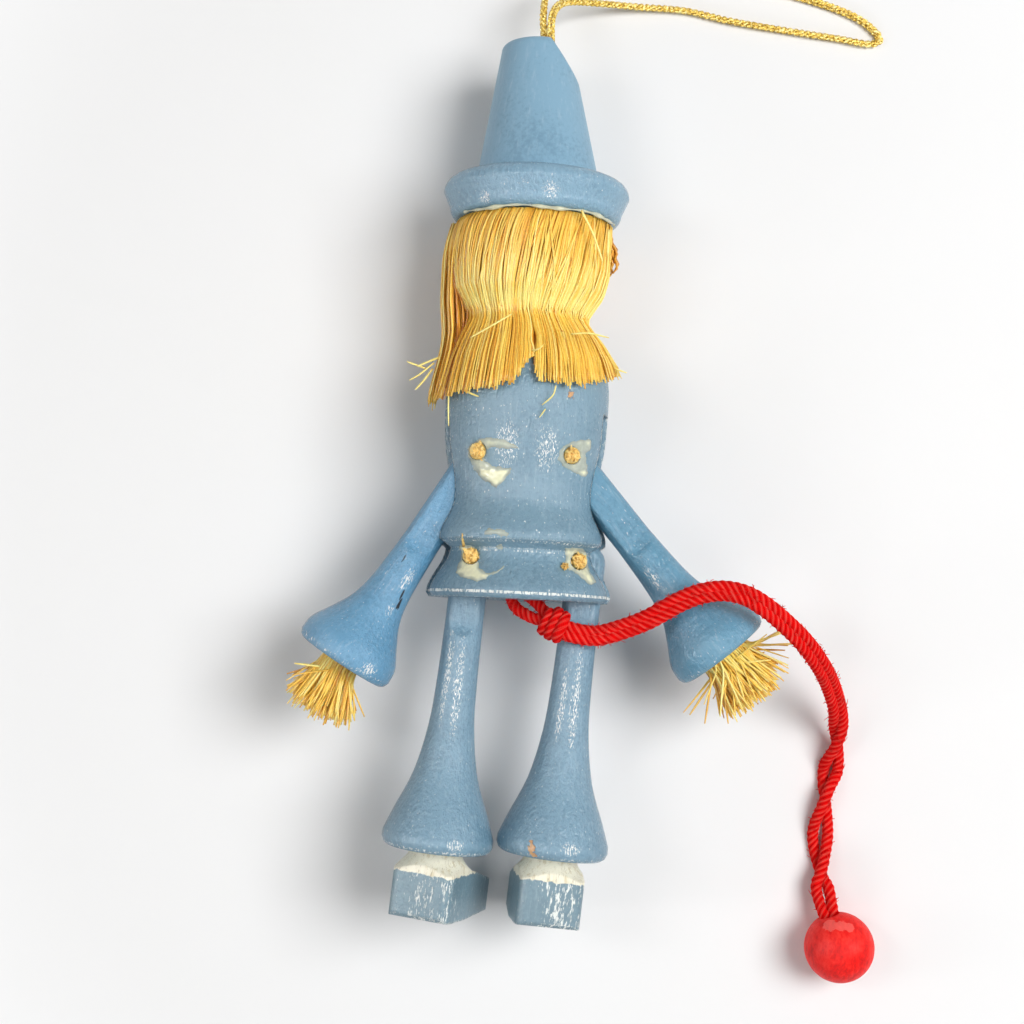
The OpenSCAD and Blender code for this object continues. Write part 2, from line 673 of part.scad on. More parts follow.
module peg_glue() {
    color(glue_white) laid() difference() {
        intersection() {
            union() {
                smear(-shoulder_out, shoulder_z, 0.9, -0.2);
                smear(shoulder_out, shoulder_z, 0.5, -0.8);
                smear(-left_hip_out, hip_z, 0.5, -0.9);
                smear(right_hip_out, hip_z, 0.2, -0.8);
            }
            coat_skin(smear_t);
        }
        coat_skin(glue_gap);
        translate([-2 * hem_r, -hem_r, neck_z]) cube([4 * hem_r, hem_r + slot_low + slot_w + glue_gap, body_len + hem_r]);
        for (x = [-shoulder_out, shoulder_out])
            across_back(x, shoulder_z, peg_r + glue_gap, 0, 2 * hem_r);
        across_back(-left_hip_out, hip_z, peg_r + glue_gap, 0, 2 * hem_r);
        across_back(right_hip_out, hip_z, peg_r + glue_gap, 0, 2 * hem_r);
    }
}

// Strings

function lever_end(across, down, angle, length) = [across - length * sin(angle), down - length * cos(angle)];
left_eye = lever_end(-shoulder_out, shoulder_z, -left_arm_angle, arm_lever);
right_eye = lever_end(shoulder_out, shoulder_z, right_arm_angle, arm_lever);
left_ear_eye = lever_end(-left_hip_out, hip_z, -(90 - ear_rise) - left_leg_angle, leg_lever);
right_ear_eye = lever_end(right_hip_out, hip_z, 90 - ear_rise - right_leg_angle, leg_lever);
string_y = slot_mid + lever_t / 2 + string_r + slot_play / 4;
stop_r = string_r * 1.4;

// A round rod between two points
module rod(a, b, r) {
    way = b - a;
    translate(a) rotate([0, acos(way[2] / norm(way)), atan2(way[1], way[0])]) cylinder(r = r, h = norm(way));
}

// A string from eye to eye, with its ends through the eyes and a stop knot behind each lever
module link(a, b) {
    top_a = [a[0], string_y, a[1]];
    top_b = [b[0], string_y, b[1]];
    past = unit(top_b - top_a) * string_r;
    rod(top_a - past, top_b + past, string_r);
    for (p = [top_a, top_b]) {
        low = [p[0], slot_mid - lever_t / 2 - stop_r, p[2]];
        rod(p, low, string_r * 0.8);
        translate(low) sphere(r = stop_r);
    }
}

module arm_string() {
    color("ivory") laid() link(left_eye, right_eye);
}

module leg_string() {
    color("ivory") laid() link(left_ear_eye, right_ear_eye);
}

// The string that the pull cord is tied to, from the arms' string down past the legs' string
centre_x = pull_route[0][0] - axis_x;
function level_at(a, b, x) = a[1] + (b[1] - a[1]) * (x - a[0]) / (b[0] - a[0]);
centre_y = string_y - 1.9 * string_r;
module centre_string() {
    start = level_at(left_eye, right_eye, centre_x) - string_r;
    color("ivory") laid() {
        translate([centre_x, centre_y, start])
            cylinder(r = string_r * 0.75, h = axis_y - pull_route[0][1] - start);
        translate([centre_x, centre_y, axis_y - pull_route[0][1]]) sphere(r = 3 * string_r);
    }
}

// Red pull cord: two strands side by side along one route
function side_way(i) =
    let (t = unit(pull_route[min(i + 1, len(pull_route) - 1)] - pull_route[max(i - 1, 0)]),
        flat = unit([-t[1], t[0], 0]), turn = 90 * max(0, min(twist_quarters, i - twist_from)))
            cos(turn) * flat + sin(turn) * cross([t[0], t[1], t[2]], flat);
function strand(side) = [for (i = [0 : len(pull_route) - 1]) let (p = pull_route[i])
    [p[0], p[1], p[2]] + side * p[3] * strand_r * side_way(i)];

module pull_cord() {
    color("red") {
        tube(strand(-1), strand_r, 8);
        tube(strand(1), strand_r, 8);
    }
}

// The knot that gathers the two strands below the hem, as three flat turns round them
knot_at = 4;
knot_turn_r = strand_r * 0.85;
knot_ring_r = strand_r + knot_turn_r + glue_gap;
module knot_turn() {
    for (side = [-1, 1]) {
        translate([0, side * strand_r, 0]) rotate([0, 0, 90 - 90 * side])
            rotate_extrude(angle = 180) translate([knot_ring_r, 0]) circle(r = knot_turn_r);
        translate([side * knot_ring_r, -strand_r, 0]) rotate([-90, 0, 0]) cylinder(r = knot_turn_r, h = 2 * strand_r);
    }
}

module pull_knot() {
    p = pull_route[knot_at];
    way = pull_route[knot_at + 1] - pull_route[knot_at - 1];
    dir = [way[0], way[1], way[2]];
    color("red") translate([p[0], p[1], p[2]]) rotate([0, acos(dir[2] / norm(dir)), atan2(dir[1], dir[0])])
        for (k = [-1, 0, 1])
            translate([0, 0, k * knot_turn_r * 1.6]) rotate([k * 12, 0, 0]) knot_turn();
}

module pull_ball() {
    p = pull_route[len(pull_route) - 1];
    q = pull_route[len(pull_route) - 2];
    turn = atan2(q[0] - p[0], q[1] - p[1]);
    color("#d73232") translate([p[0], p[1], ball_r]) rotate([0, 0, -turn]) difference() {
        sphere(r = ball_r);
        rotate([-90, 0, 0]) translate([0, 0, -ball_r - over])
            cylinder(r = 2 * strand_r + slot_play, h = 2 * (ball_r + over));
    }
}

module hanging_loop() {
    color("goldenrod") tube(loop_route, gold_r, 8);
}

hat_crown();
hat_brim();
hat_glue();
head();
nose();
neck_dowel();
back_hair();
side_lock();
fringe();
coat_body();
left_arm();
right_arm();
left_leg();
right_leg();
left_hand();
right_hand();
left_foot();
right_foot();
left_arm_peg();
right_arm_peg();
left_leg_peg();
right_leg_peg();
peg_glue();
arm_string();
leg_string();
centre_string();
pull_cord();
pull_knot();
pull_ball();
hanging_loop();
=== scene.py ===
"""Looks of a turned wooden jumping jack that lies face down, with straw hair, a red pull cord and a gold loop.

Lengths are written in millimetres and turned into metres where a piece is made. X runs across the doll, Y towards
its hat and Z up out of its back, as in the CAD model.
"""

import math

import bpy
import numpy as np
from mathutils import Matrix, Vector
from mathutils.bvhtree import BVHTree


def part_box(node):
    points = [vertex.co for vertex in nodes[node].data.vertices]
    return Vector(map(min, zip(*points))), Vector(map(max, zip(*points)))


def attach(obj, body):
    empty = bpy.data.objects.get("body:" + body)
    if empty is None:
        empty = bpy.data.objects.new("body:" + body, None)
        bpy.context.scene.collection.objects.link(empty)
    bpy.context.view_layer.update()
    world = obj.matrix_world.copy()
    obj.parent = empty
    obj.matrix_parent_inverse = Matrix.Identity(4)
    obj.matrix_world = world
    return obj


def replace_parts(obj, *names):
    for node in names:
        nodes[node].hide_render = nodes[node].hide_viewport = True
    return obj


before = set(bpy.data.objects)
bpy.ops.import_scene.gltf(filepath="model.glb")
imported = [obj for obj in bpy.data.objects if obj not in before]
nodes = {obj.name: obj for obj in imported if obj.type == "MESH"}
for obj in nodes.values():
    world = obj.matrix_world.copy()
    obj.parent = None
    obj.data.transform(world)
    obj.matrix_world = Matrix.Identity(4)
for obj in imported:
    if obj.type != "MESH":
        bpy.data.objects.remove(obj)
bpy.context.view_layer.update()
chance = np.random.default_rng(7)

MM = 0.001

# The turn from one fibre of a round bundle to the next, in radians, that spreads them evenly
GOLDEN_TURN = 2.39996

# The doll's turning axis
AXIS = np.array([-3.2, 49.6, 15.9])
SLOT_MID = 2.5

# Limbs: peg place (across, down the doll), angle from the doll's axis and offset of the turned part
LIMBS = {
    "left_arm": (-7.7, 46.8, -31.0, 0.0),
    "right_arm": (7.7, 46.8, 41.0, 0.0),
    "left_leg": (-8.0, 64.0, -4.2, 0.0),
    "right_leg": (9.7, 64.0, -4.4, 1.5),
}
ARM_LENGTH = 41.4
SHOE_LINE = 52.3

# Hat, head and hair
HEAD_Z = 12.3
HEAD_R = 11.6
NECK_Z = 22.5
HAIR_REACH = 98

# Cords
STRAND_R = 0.85

# Plies of the red cord's strands: how many, how deep, and how long a turn is
PLIES = (4, 0.2, -4.6)

# Route of the pull cord: across, along, up, and half the strands' distance in strand radii
PULL_ROUTE = [
    (-2.9, -17.6, 19.3, 1.05), (-2.8, -20.8, 19, 1.9), (-0.6, -22.6, 19.9, 1.7), (1.4, -23.8, 21.2, 1.05),
    (3, -24.8, 22.4, 1.05), (4.6, -25.6, 23.3, 1.05), (6.6, -26.2, 23.7, 1.05), (10, -26.4, 23.6, 1.05),
    (14, -25.2, 24.1, 1.05), (18.3, -23.3, 25.1, 1.05), (22.6, -20.6, 26.1, 1.05), (26.2, -18.9, 27, 1.05),
    (30, -18.2, 27.9, 1.05), (33.6, -18.8, 28.5, 1.05), (37, -20.6, 28.4, 1.05), (40.6, -23.2, 27, 1.05),
    (44.2, -26.2, 24.6, 1.05), (48, -30, 19.3, 1.05), (51, -33.7, 12.8, 1.05), (53.2, -38, 7.4, 1.05),
    (53.8, -42.6, 3.6, 1.3), (53.5, -47.6, 0.9, 1.65), (52.5, -52.4, 2.1, 1.3), (52, -59, 0.9, 1.75),
    (52.1, -65.5, 2.1, 1.3), (52.4, -69, 3.2, 1.5), (53.6, -74, 5.4, 1.05), (55, -78, 6, 1.05),
]
KNOT_AT = 4

# Below this point the strands turn round each other, a quarter turn from point to point
TWIST_FROM = 19
TWIST_QUARTERS = 6

# Loose fibres on each strand
FUZZ_SEED = 11
FUZZ_COUNT = 420

# How much nearer the soft strands lie than their solids, in strand radii
STRAND_SQUEEZE = 0.2

# Route of the gold loop, out of the crown, across the table and back
LOOP_ROUTE = [
    (-1.7, 69.4, 16.5), (-2, 75.4, 16.5), (-2, 80.2, 14.9), (-0.8, 84, 11), (1.6, 85.9, 7.8), (6, 87.1, 4.4),
    (14, 87.8, 1.6), (22.3, 87.8, 0.8), (30.5, 86.3, 0.8), (41.5, 84.9, 0.8), (50.5, 83.9, 0.8),
    (55.6, 83.2, 0.8), (57.8, 83.9, 0.8), (56.6, 85.8, 0.8), (53.2, 88.1, 0.8), (47, 90.3, 0.8),
    (37.6, 92.6, 0.8), (28, 94.6, 0.8), (17.3, 95.6, 1.2), (8, 94.8, 3), (1, 91.4, 6.2), (-2.8, 86.8, 9.6),
    (-3.5, 81.4, 13.2), (-3.1, 75.4, 15.3), (-2.8, 69.4, 15.3),
]


# Places


def doll(across, back, down):
    """Row-frame millimetres of a place given across the doll, out of its back and down from its brim."""
    return np.array([AXIS[0] + across, AXIS[1] - down, AXIS[2] + back])


def on_limb(limb, across, back, along):
    """Row-frame millimetres of a place on a limb's turned part, along from its peg."""
    peg_x, peg_z, angle, offset = LIMBS[limb]
    turn = math.radians(angle)
    side = across + offset
    return doll(
        peg_x + side * math.cos(turn) + along * math.sin(turn),
        SLOT_MID + back,
        peg_z - side * math.sin(turn) + along * math.cos(turn),
    )


def unit(v):
    """Vectors of length one along the last axis."""
    return v / np.maximum(np.linalg.norm(v, axis=-1, keepdims=True), 1e-9)


def smooth_route(points, step):
    """Points a step apart on a smooth curve through the given ones."""
    p = np.array(points, float)
    p = np.vstack([2 * p[0] - p[1], p, 2 * p[-1] - p[-2]])
    t = np.linspace(0, 1, 24, endpoint=False)[:, None]
    rows = [
        0.5 * (2 * b + (c - a) * t + (2 * a - 5 * b + 4 * c - d) * t**2 + (3 * b - a - 3 * c + d) * t**3)
        for a, b, c, d in zip(p, p[1:], p[2:], p[3:])
    ]
    fine = np.vstack([*rows, p[-2:-1]])
    way = distances(fine[:, :3])
    wanted = np.linspace(0, way[-1], max(2, round(way[-1] / step)))
    return np.stack([np.interp(wanted, way, fine[:, k]) for k in range(fine.shape[1])], axis=1)


def distances(path):
    """How far along a path each of its points lies."""
    return np.concatenate([[0], np.cumsum(np.linalg.norm(np.diff(path, axis=0), axis=1))])


def carried(path):
    """Two crosswise directions along a path that turn as little as they can."""
    ahead = unit(np.gradient(path, axis=0))
    side = unit(np.cross(ahead[0], [0.0, 0.0, 1.0]))
    sides = []
    for t in ahead:
        side = unit(side - t * np.dot(side, t))
        sides.append(side)
    sides = np.array(sides)
    return sides, np.cross(sides, ahead)


# Meshes


def new_piece(name, verts_mm, faces, body, slot):
    """A smooth mesh piece that rides on a CAD body, in the material of its slot."""
    mesh = bpy.data.meshes.new(name)
    mesh.from_pydata((np.asarray(verts_mm) * MM).tolist(), [], faces)
    mesh.update()
    mesh.polygons.foreach_set("use_smooth", [True] * len(mesh.polygons))
    piece = bpy.data.objects.new(name, mesh)
    bpy.context.scene.collection.objects.link(piece)
    mesh.materials.append(MATERIALS[slot])
    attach(piece, body)
    return piece


def set_values(piece, label, values):
    """Gives each vertex of a piece a number, or three, for its material to read."""
    values = np.asarray(values, float)
    kind, part = ("FLOAT", "value") if values.ndim == 1 else ("FLOAT_VECTOR", "vector")
    piece.data.attributes.new(label, kind, "POINT").data.foreach_set(part, values.ravel())


def ring_faces(rings, sides, start=0):
    """Faces of a closed tube of so many rings."""
    faces = []
    for i in range(rings - 1):
        for k in range(sides):
            a = start + i * sides + k
            b = start + i * sides + (k + 1) % sides
            faces.append((a, b, b + sides, a + sides))
    faces.append(tuple(start + k for k in reversed(range(sides))))
    faces.append(tuple(start + (rings - 1) * sides + k for k in range(sides)))
    return faces


def section(across, over, sides, flat=1.0):
    """Angles of the corners of a tube's section, and the way to each corner from each point of the tube's path."""
    angle = np.linspace(0, 2 * math.pi, sides, endpoint=False)[None, :]
    return angle, np.cos(angle)[..., None] * across[:, None, :] + flat * np.sin(angle)[..., None] * over[:, None, :]


def twisted_tube(path, radius, lobes, depth, pitch, sides):
    """Vertices of a tube whose section has lobes that turn along it, as plies do, and a yarn place for each."""
    angle, ring = section(*carried(path), sides)
    way = distances(path)[:, None]
    turned = angle - 2 * math.pi * way / pitch
    crest = np.abs(np.cos(turned * lobes / 2))
    r = radius * (1 - depth + depth * crest)
    yarn = np.stack([np.cos(turned), np.sin(turned), 0.06 * way + 0 * turned], axis=-1)
    return (path[:, None, :] + r[..., None] * ring).reshape(-1, 3), yarn.reshape(-1, 3), crest.reshape(-1)


def red_tube(name, path, radius, sides):
    """A length of red cord: its plies, its yarn places, and how near each is to the crest of a ply."""
    verts, yarn, crest = twisted_tube(path, radius, *PLIES, sides)
    piece = new_piece(name, verts, ring_faces(len(path), sides), "pull_body", "red_cord")
    set_values(piece, "yarn", yarn)
    set_values(piece, "crest", crest)
    return piece


class Fibres:
    """Gathers single fibres into one mesh, with a tone for each and a place along it."""

    SIDES = 5
    THIN = 0.75

    def __init__(self):
        self.verts, self.faces, self.tone, self.along = [], [], [], []
        self.count = 0

    def add(self, route, width, up, tone, tip=0.6):
        """One fibre along a route in millimetres; up is where its flat side faces, tone one value or one a point."""
        route = np.asarray(route, float)
        ahead = unit(np.gradient(route, axis=0))
        side = unit(np.cross(ahead, up))
        over = np.cross(side, ahead)
        n = len(route)
        t = np.linspace(0, 1, n)
        size = width * (1 - (1 - tip) * np.clip((t - 0.8) / 0.2, 0, 1))
        ring = section(side, over, self.SIDES, self.THIN)[1]
        self.verts.append((route[:, None, :] + size[:, None, None] * ring).reshape(-1, 3))
        self.faces += ring_faces(n, self.SIDES, self.count)
        self.tone += np.repeat(np.broadcast_to(np.clip(tone, 0, 1), n), self.SIDES).tolist()
        self.along += np.repeat(t, self.SIDES).tolist()
        self.count += n * self.SIDES

    def piece(self, name, body, slot="straw"):
        """The mesh of all the fibres."""
        piece = new_piece(name, np.vstack(self.verts), self.faces, body, slot)
        set_values(piece, "tone", self.tone)
        set_values(piece, "along", self.along)
        return piece


# Shader building


class Graph:
    """Short calls that add a shader node and give back its output."""

    def __init__(self, tree):
        self.tree = tree

    def put(self, socket, value):
        """Links a socket to another one, or sets its value."""
        if isinstance(value, bpy.types.NodeSocket):
            self.tree.links.new(value, socket)
        else:
            socket.default_value = value

    def fill(self, node, named):
        """Links or sets a node's inputs by name."""
        for key, value in named.items():
            self.put(node.inputs[key], value)

    def add(self, kind, values=(), named=None, **settings):
        """A node with its settings and its inputs, in order or by name."""
        node = self.tree.nodes.new(kind if kind.startswith("Node") else "ShaderNode" + kind)
        for key, value in settings.items():
            setattr(node, key, value)
        for socket, value in zip(node.inputs, values):
            self.put(socket, value)
        self.fill(node, named or {})
        return node

    def seen(self):
        """A place in the doll's frame, in metres."""
        return self.add("TexCoord").outputs["Object"]

    def attribute(self, label, output="Fac"):
        return self.add("Attribute", attribute_name=label).outputs[output]

    def math(self, operation, *values):
        return self.add("Math", values, operation=operation).outputs[0]

    def vector(self, operation, *values):
        node = self.add("VectorMath", values, operation=operation)
        return node.outputs["Value" if operation in ("LENGTH", "DISTANCE", "DOT_PRODUCT") else "Vector"]

    def noise(self, place, scale, detail=2.0, rough=0.5):
        named = {"Vector": place, "Scale": scale, "Detail": detail, "Roughness": rough}
        return self.add("TexNoise", named=named).outputs[0]

    def step(self, value, low, high):
        """0 below low, 1 above high and a soft step between."""
        named = {"Value": value, "From Min": low, "From Max": high}
        return self.add("MapRange", named=named, interpolation_type="SMOOTHSTEP").outputs[0]

    def under(self, value, low, high):
        """1 below low, 0 above high and a soft step between."""
        return self.math("SUBTRACT", 1.0, self.step(value, low, high))

    def mix(self, factor, a, b, blend="MIX"):
        """A mix of two colours."""
        node = self.add("Mix", data_type="RGBA", blend_type=blend)
        for index, given in ((0, factor), (6, a), (7, b)):
            self.put(node.inputs[index], given)
        return node.outputs[2]

    def ramp(self, value, *stops):
        """A colour ramp of (place, colour) stops."""
        node = self.add("ValToRGB", (value,))
        elements = node.color_ramp.elements
        for _ in stops[2:]:
            elements.new(0.5)
        for element, (place, colour) in zip(elements, stops):
            element.position = place
            element.color = colour
        return node.outputs[0]

    def bump(self, height, distance, **named):
        """A normal raised by a height of so many metres, over the one named Normal if there is one."""
        return self.add("Bump", named={"Height": height, "Distance": distance, **named}).outputs[0]

    def stretched(self, place, amounts):
        """A place scaled along its three axes."""
        return self.vector("MULTIPLY", place, amounts)


def rgb(red, green, blue):
    """A linear colour from the 0 to 255 values of a screen colour."""
    return (*[((c / 255 + 0.055) / 1.055) ** 2.4 if c > 10 else c / 255 / 12.92 for c in (red, green, blue)], 1.0)


def new_group(name, inputs, outputs):
    """An empty node group with its sockets, and its graph, input and output nodes."""
    group = bpy.data.node_groups.new(name, "ShaderNodeTree")
    kinds = {"vector": "NodeSocketVector", "colour": "NodeSocketColor", "value": "NodeSocketFloat"}
    for label, kind in inputs.items():
        group.interface.new_socket(label, in_out="INPUT", socket_type=kinds[kind])
    for label, kind in outputs.items():
        group.interface.new_socket(label, in_out="OUTPUT", socket_type=kinds[kind])
    graph = Graph(group)
    return group, graph, graph.add("NodeGroupInput").outputs, graph.add("NodeGroupOutput").inputs


def piece_place_group():
    """Millimetres in a turned piece's own frame: across it, out of the back, and along it from its start."""
    group, g, given, out = new_group(
        "piece_place", {"Start": "vector", "Turn": "value"}, {"Place": "vector"}
    )
    moved = g.vector("SUBTRACT", g.seen(), given["Start"])
    turned = g.add(
        "VectorRotate", named={"Vector": moved, "Angle": given["Turn"]}, rotation_type="Z_AXIS"
    ).outputs[0]
    xyz = g.add("SeparateXYZ", (turned,)).outputs
    along = g.math("MULTIPLY", xyz[1], -1.0)
    joined = g.add("CombineXYZ", (xyz[0], xyz[2], along)).outputs[0]
    g.put(out["Place"], g.vector("MULTIPLY", joined, (1000.0, 1000.0, 1000.0)))
    return group


def soft_edge_group():
    """The rounded normal of an edge, and a mask of how near an edge is."""
    group, g, given, out = new_group("soft_edge", {"Radius": "value"}, {"Edge": "value", "Normal": "vector"})
    rounded = g.add("Bevel", named={"Radius": given["Radius"]}, samples=6).outputs[0]
    plain = g.add("NewGeometry").outputs["Normal"]
    bend = g.math("SUBTRACT", 1.0, g.vector("DOT_PRODUCT", rounded, plain))
    g.put(out["Edge"], g.step(bend, 0.01, 0.2))
    g.put(out["Normal"], rounded)
    return group


def turned_paint_group():
    """Brushed paint on turned wood: mottled, streaked along the grain, flecked, worn to its white undercoat, and
    painted with white glints as highlights where a mask asks for them.
    """
    amounts = dict.fromkeys(("Wear", "Flecks", "Chips", "Painted Highlights", "Roughness"), "value")
    group, g, given, out = new_group(
        "turned_paint",
        {"Place": "vector", "Paint": "colour", **amounts},
        {"Color": "colour", "Roughness": "value", "Height": "value"},
    )
    place = given["Place"]
    grain_place = g.stretched(place, (1.0, 1.0, 0.1))
    cloud = g.noise(place, 0.09, 2.0)
    mottle = g.noise(place, 1.5, 3.0, 0.6)
    grain = g.noise(grain_place, 1.7, 3.0, 0.65)
    brush = g.noise(g.stretched(place, (1.0, 1.0, 0.35)), 2.8, 3.0, 0.65)
    fleck = g.noise(g.stretched(place, (1.0, 1.0, 0.4)), 3.6, 1.0)
    dark = g.mix(1.0, given["Paint"], (0.74, 0.78, 0.8, 1), "MULTIPLY")
    light = g.mix(0.24, given["Paint"], (0.75, 0.85, 0.9, 1))
    blotch = g.math("MULTIPLY_ADD", mottle, 0.6, g.math("MULTIPLY", cloud, 0.5))
    tone = g.mix(g.step(blotch, 0.36, 0.62), dark, given["Paint"])
    tone = g.mix(g.math("MULTIPLY", g.step(grain, 0.52, 0.78), 0.5), tone, light)
    flecks = g.math("MULTIPLY", g.step(fleck, 0.7, 0.79), given["Flecks"])
    worn = g.step(g.math("ADD", given["Wear"], g.math("MULTIPLY_ADD", brush, 1.1, -0.55)), 0.42, 0.6)
    # Painted highlights: fine white glints that crowd where the highlight mask is high
    glint = g.noise(g.stretched(place, (1.0, 1.0, 0.28)), 6.4, 2.0, 0.6)
    painted_glint = g.step(g.math("MULTIPLY_ADD", given["Painted Highlights"], 0.155, glint), 0.608, 0.7)
    painted_glint = g.math("MULTIPLY", painted_glint, g.step(given["Painted Highlights"], 0.02, 0.4))
    white = g.math("MAXIMUM", g.math("MAXIMUM", flecks, worn), painted_glint)
    tone = g.mix(white, tone, rgb(232, 236, 232))
    tone = g.mix(given["Chips"], tone, rgb(206, 160, 112))
    g.put(out["Color"], tone)
    rough = g.math("MULTIPLY_ADD", mottle, 0.16, given["Roughness"])
    g.put(out["Roughness"], g.math("MULTIPLY_ADD", worn, 0.25, rough))
    relief = g.math("MULTIPLY_ADD", grain, 0.5, g.math("MULTIPLY_ADD", brush, 0.9, mottle))
    relief = g.math("SUBTRACT", relief, g.math("MULTIPLY", given["Chips"], 1.2))
    g.put(out["Height"], g.math("MULTIPLY_ADD", worn, -0.35, relief))
    return group


GROUPS = {
    "place": piece_place_group(),
    "edge": soft_edge_group(),
    "paint": turned_paint_group(),
}


def new_material(name):
    """A material with its graph and its surface shader."""
    material = bpy.data.materials.new(name)
    material.use_nodes = True
    g = Graph(material.node_tree)
    return material, g, material.node_tree.nodes["Principled BSDF"]


def use_group(g, name, **named):
    """A shared group in a material, with its inputs."""
    return g.add("Group", named=named, node_tree=GROUPS[name]).outputs


def piece_place(g, start_mm, angle_deg):
    """The group that gives a place on a turned piece."""
    start = tuple(np.asarray(start_mm) * MM)
    return use_group(g, "place", Start=start, Turn=math.radians(-angle_deg))["Place"]


def band(g, value, middle, half):
    """A soft band round a value."""
    return g.under(g.math("ABSOLUTE", g.math("SUBTRACT", value, middle)), half * 0.5, half)


def spots(g, place, centres, rag=1.6):
    """A ragged mask of round spots, each (across, back, along, radius)."""
    ragged = g.math("MULTIPLY_ADD", g.noise(place, 1.3, 3.0, 0.6), rag, -rag / 2)
    total = 0.0
    for across, back, along, radius in centres:
        away = g.vector("DISTANCE", place, (across, back, along))
        total = g.math("MAXIMUM", total, g.under(g.math("ADD", away, ragged), radius * 0.85, radius))
    return total


def blobs(g, place, centres):
    """A soft mask of drawn-out spots, each (across, back, along, radius, length in radii)."""
    total = 0.0
    for across, back, along, radius, drawn in centres:
        away = g.vector("DISTANCE", g.stretched(place, (1.0, 1.0, 1 / drawn)), (across, back, along / drawn))
        total = g.math("MAXIMUM", total, g.under(away, 0.0, radius))
    return total


# How much a crack is drawn out along the grain
CRACK_SQUASH = 0.16

# Radius of the softened edges of painted wood and of the shoes, in metres
EDGE_RADIUS = 0.0009
SHOE_EDGE_RADIUS = 0.0008


def painted(
    name, colour, start_mm, angle=0.0, flecks=0.5, relief=0.0002, rough=0.06, edge_wear=0.3, wear_bands=(), chips=(),
    cracks=(), scuffs=()
):
    """Satin paint on a turned piece; wear_bands are (along, half width, amount), and the highlight patches are
    drawn-out spots where white glints are painted as highlights.
    """
    material, g, shader = new_material(name)
    place = piece_place(g, start_mm, angle)
    edge = use_group(g, "edge", Radius=EDGE_RADIUS)
    wear = g.math("MULTIPLY", edge["Edge"], edge_wear)
    along = g.add("SeparateXYZ", (place,)).outputs[2]
    for middle, half, amount in wear_bands:
        wear = g.math("MAXIMUM", wear, g.math("MULTIPLY", band(g, along, middle, half), amount))
    named = {"Place": place, "Paint": colour, "Wear": wear, "Flecks": flecks, "Roughness": rough}
    if chips:
        named["Chips"] = spots(g, place, chips)
    if scuffs:
        named["Painted Highlights"] = blobs(g, place, scuffs)
    paint = use_group(g, "paint", **named)
    tone, height = paint["Color"], paint["Height"]
    if cracks:
        squashed = g.stretched(place, (1.0, 1.0, CRACK_SQUASH))
        split = spots(g, squashed, [(a, b, c * CRACK_SQUASH, r) for a, b, c, r in cracks], 0.9)
        tone = g.mix(split, tone, rgb(22, 34, 44))
        height = g.math("MULTIPLY_ADD", split, -2.0, height)
    normal = g.bump(height, relief, Normal=edge["Normal"])
    g.fill(shader, {"Base Color": tone, "Roughness": paint["Roughness"], "Normal": normal})
    return material


def straw_material():
    """Dry golden fibre: each has its own tone, darker at the root, with painted shade where it lies deep and a
    painted highlight where the hair swells.
    """
    material, g, shader = new_material("straw")
    streak = g.noise(g.seen(), 2600.0)
    mixed = g.math("ADD", g.attribute("tone"), g.math("MULTIPLY_ADD", streak, 0.4, -0.2))
    colour = g.ramp(
        mixed, (0.0, rgb(176, 104, 32)), (0.3, rgb(234, 172, 54)), (0.6, rgb(250, 208, 86)), (1.0, rgb(255, 239, 146))
    )
    root = g.under(g.attribute("along"), 0.0, 0.12)
    colour = g.mix(g.math("MULTIPLY", root, 0.3), colour, rgb(214, 150, 60))
    g.fill(shader, {"Base Color": colour, "Roughness": 0.34})
    g.fill(shader, {"Subsurface Weight": 0.1, "Subsurface Radius": (0.0012, 0.0008, 0.0003)})
    return material


def red_cord_material():
    """Bright twisted yarn with painted shade between its plies, and fine paler fibres along them whose palest streaks
    are painted highlights.
    """
    material, g, shader = new_material("red_cord")
    fibre = g.noise(g.attribute("yarn", "Vector"), 9.0, 3.0, 0.7)
    # The colour darkens away from the crests of the plies as painted shade in the grooves, and its palest stop paints
    # pink highlights on the crests
    depth = g.math("MULTIPLY_ADD", fibre, 0.8, g.math("MULTIPLY_ADD", g.attribute("crest"), 0.5, -0.09))
    colour = g.ramp(
        depth, (0.3, rgb(176, 0, 0)), (0.48, rgb(250, 2, 4)), (0.66, rgb(255, 20, 18)), (0.9, rgb(255, 104, 92))
    )
    g.fill(shader, {"Base Color": colour, "Normal": g.bump(fibre, 0.00025)})
    g.fill(shader, {"Roughness": 0.7, "Specular IOR Level": 0.04})
    return material


def gold_cord_material():
    """Metallic thread whose colour has bright glints painted in as highlights."""
    material, g, shader = new_material("gold_cord")
    glint = g.noise(g.seen(), 2400.0, 2.0, 0.7)
    # The palest stop of the ramp paints bright glints as highlights
    colour = g.ramp(glint, (0.36, rgb(140, 100, 26)), (0.5, rgb(240, 200, 72)), (0.64, rgb(255, 246, 176)))
    g.fill(shader, {"Base Color": colour, "Normal": g.bump(glint, 0.00025), "Metallic": 0.35, "Roughness": 0.3})
    return material


def glue_material():
    """Milky hot glue, clear where it is thin."""
    material, g, shader = new_material("hot_glue")
    seen = g.seen()
    cloud = g.math("MULTIPLY_ADD", g.noise(seen, 900.0, 3.0), 0.5, -0.25)
    milk = g.step(g.math("ADD", g.attribute("thick"), cloud), 0.05, 0.8)
    colour = g.mix(milk, rgb(230, 232, 206), rgb(248, 246, 208))
    g.fill(shader, {"Base Color": colour, "Alpha": g.math("MULTIPLY_ADD", milk, 0.56, 0.4)})
    g.fill(shader, {"Normal": g.bump(g.noise(seen, 1500.0), 0.00012), "Roughness": 0.14, "IOR": 1.4})
    return material


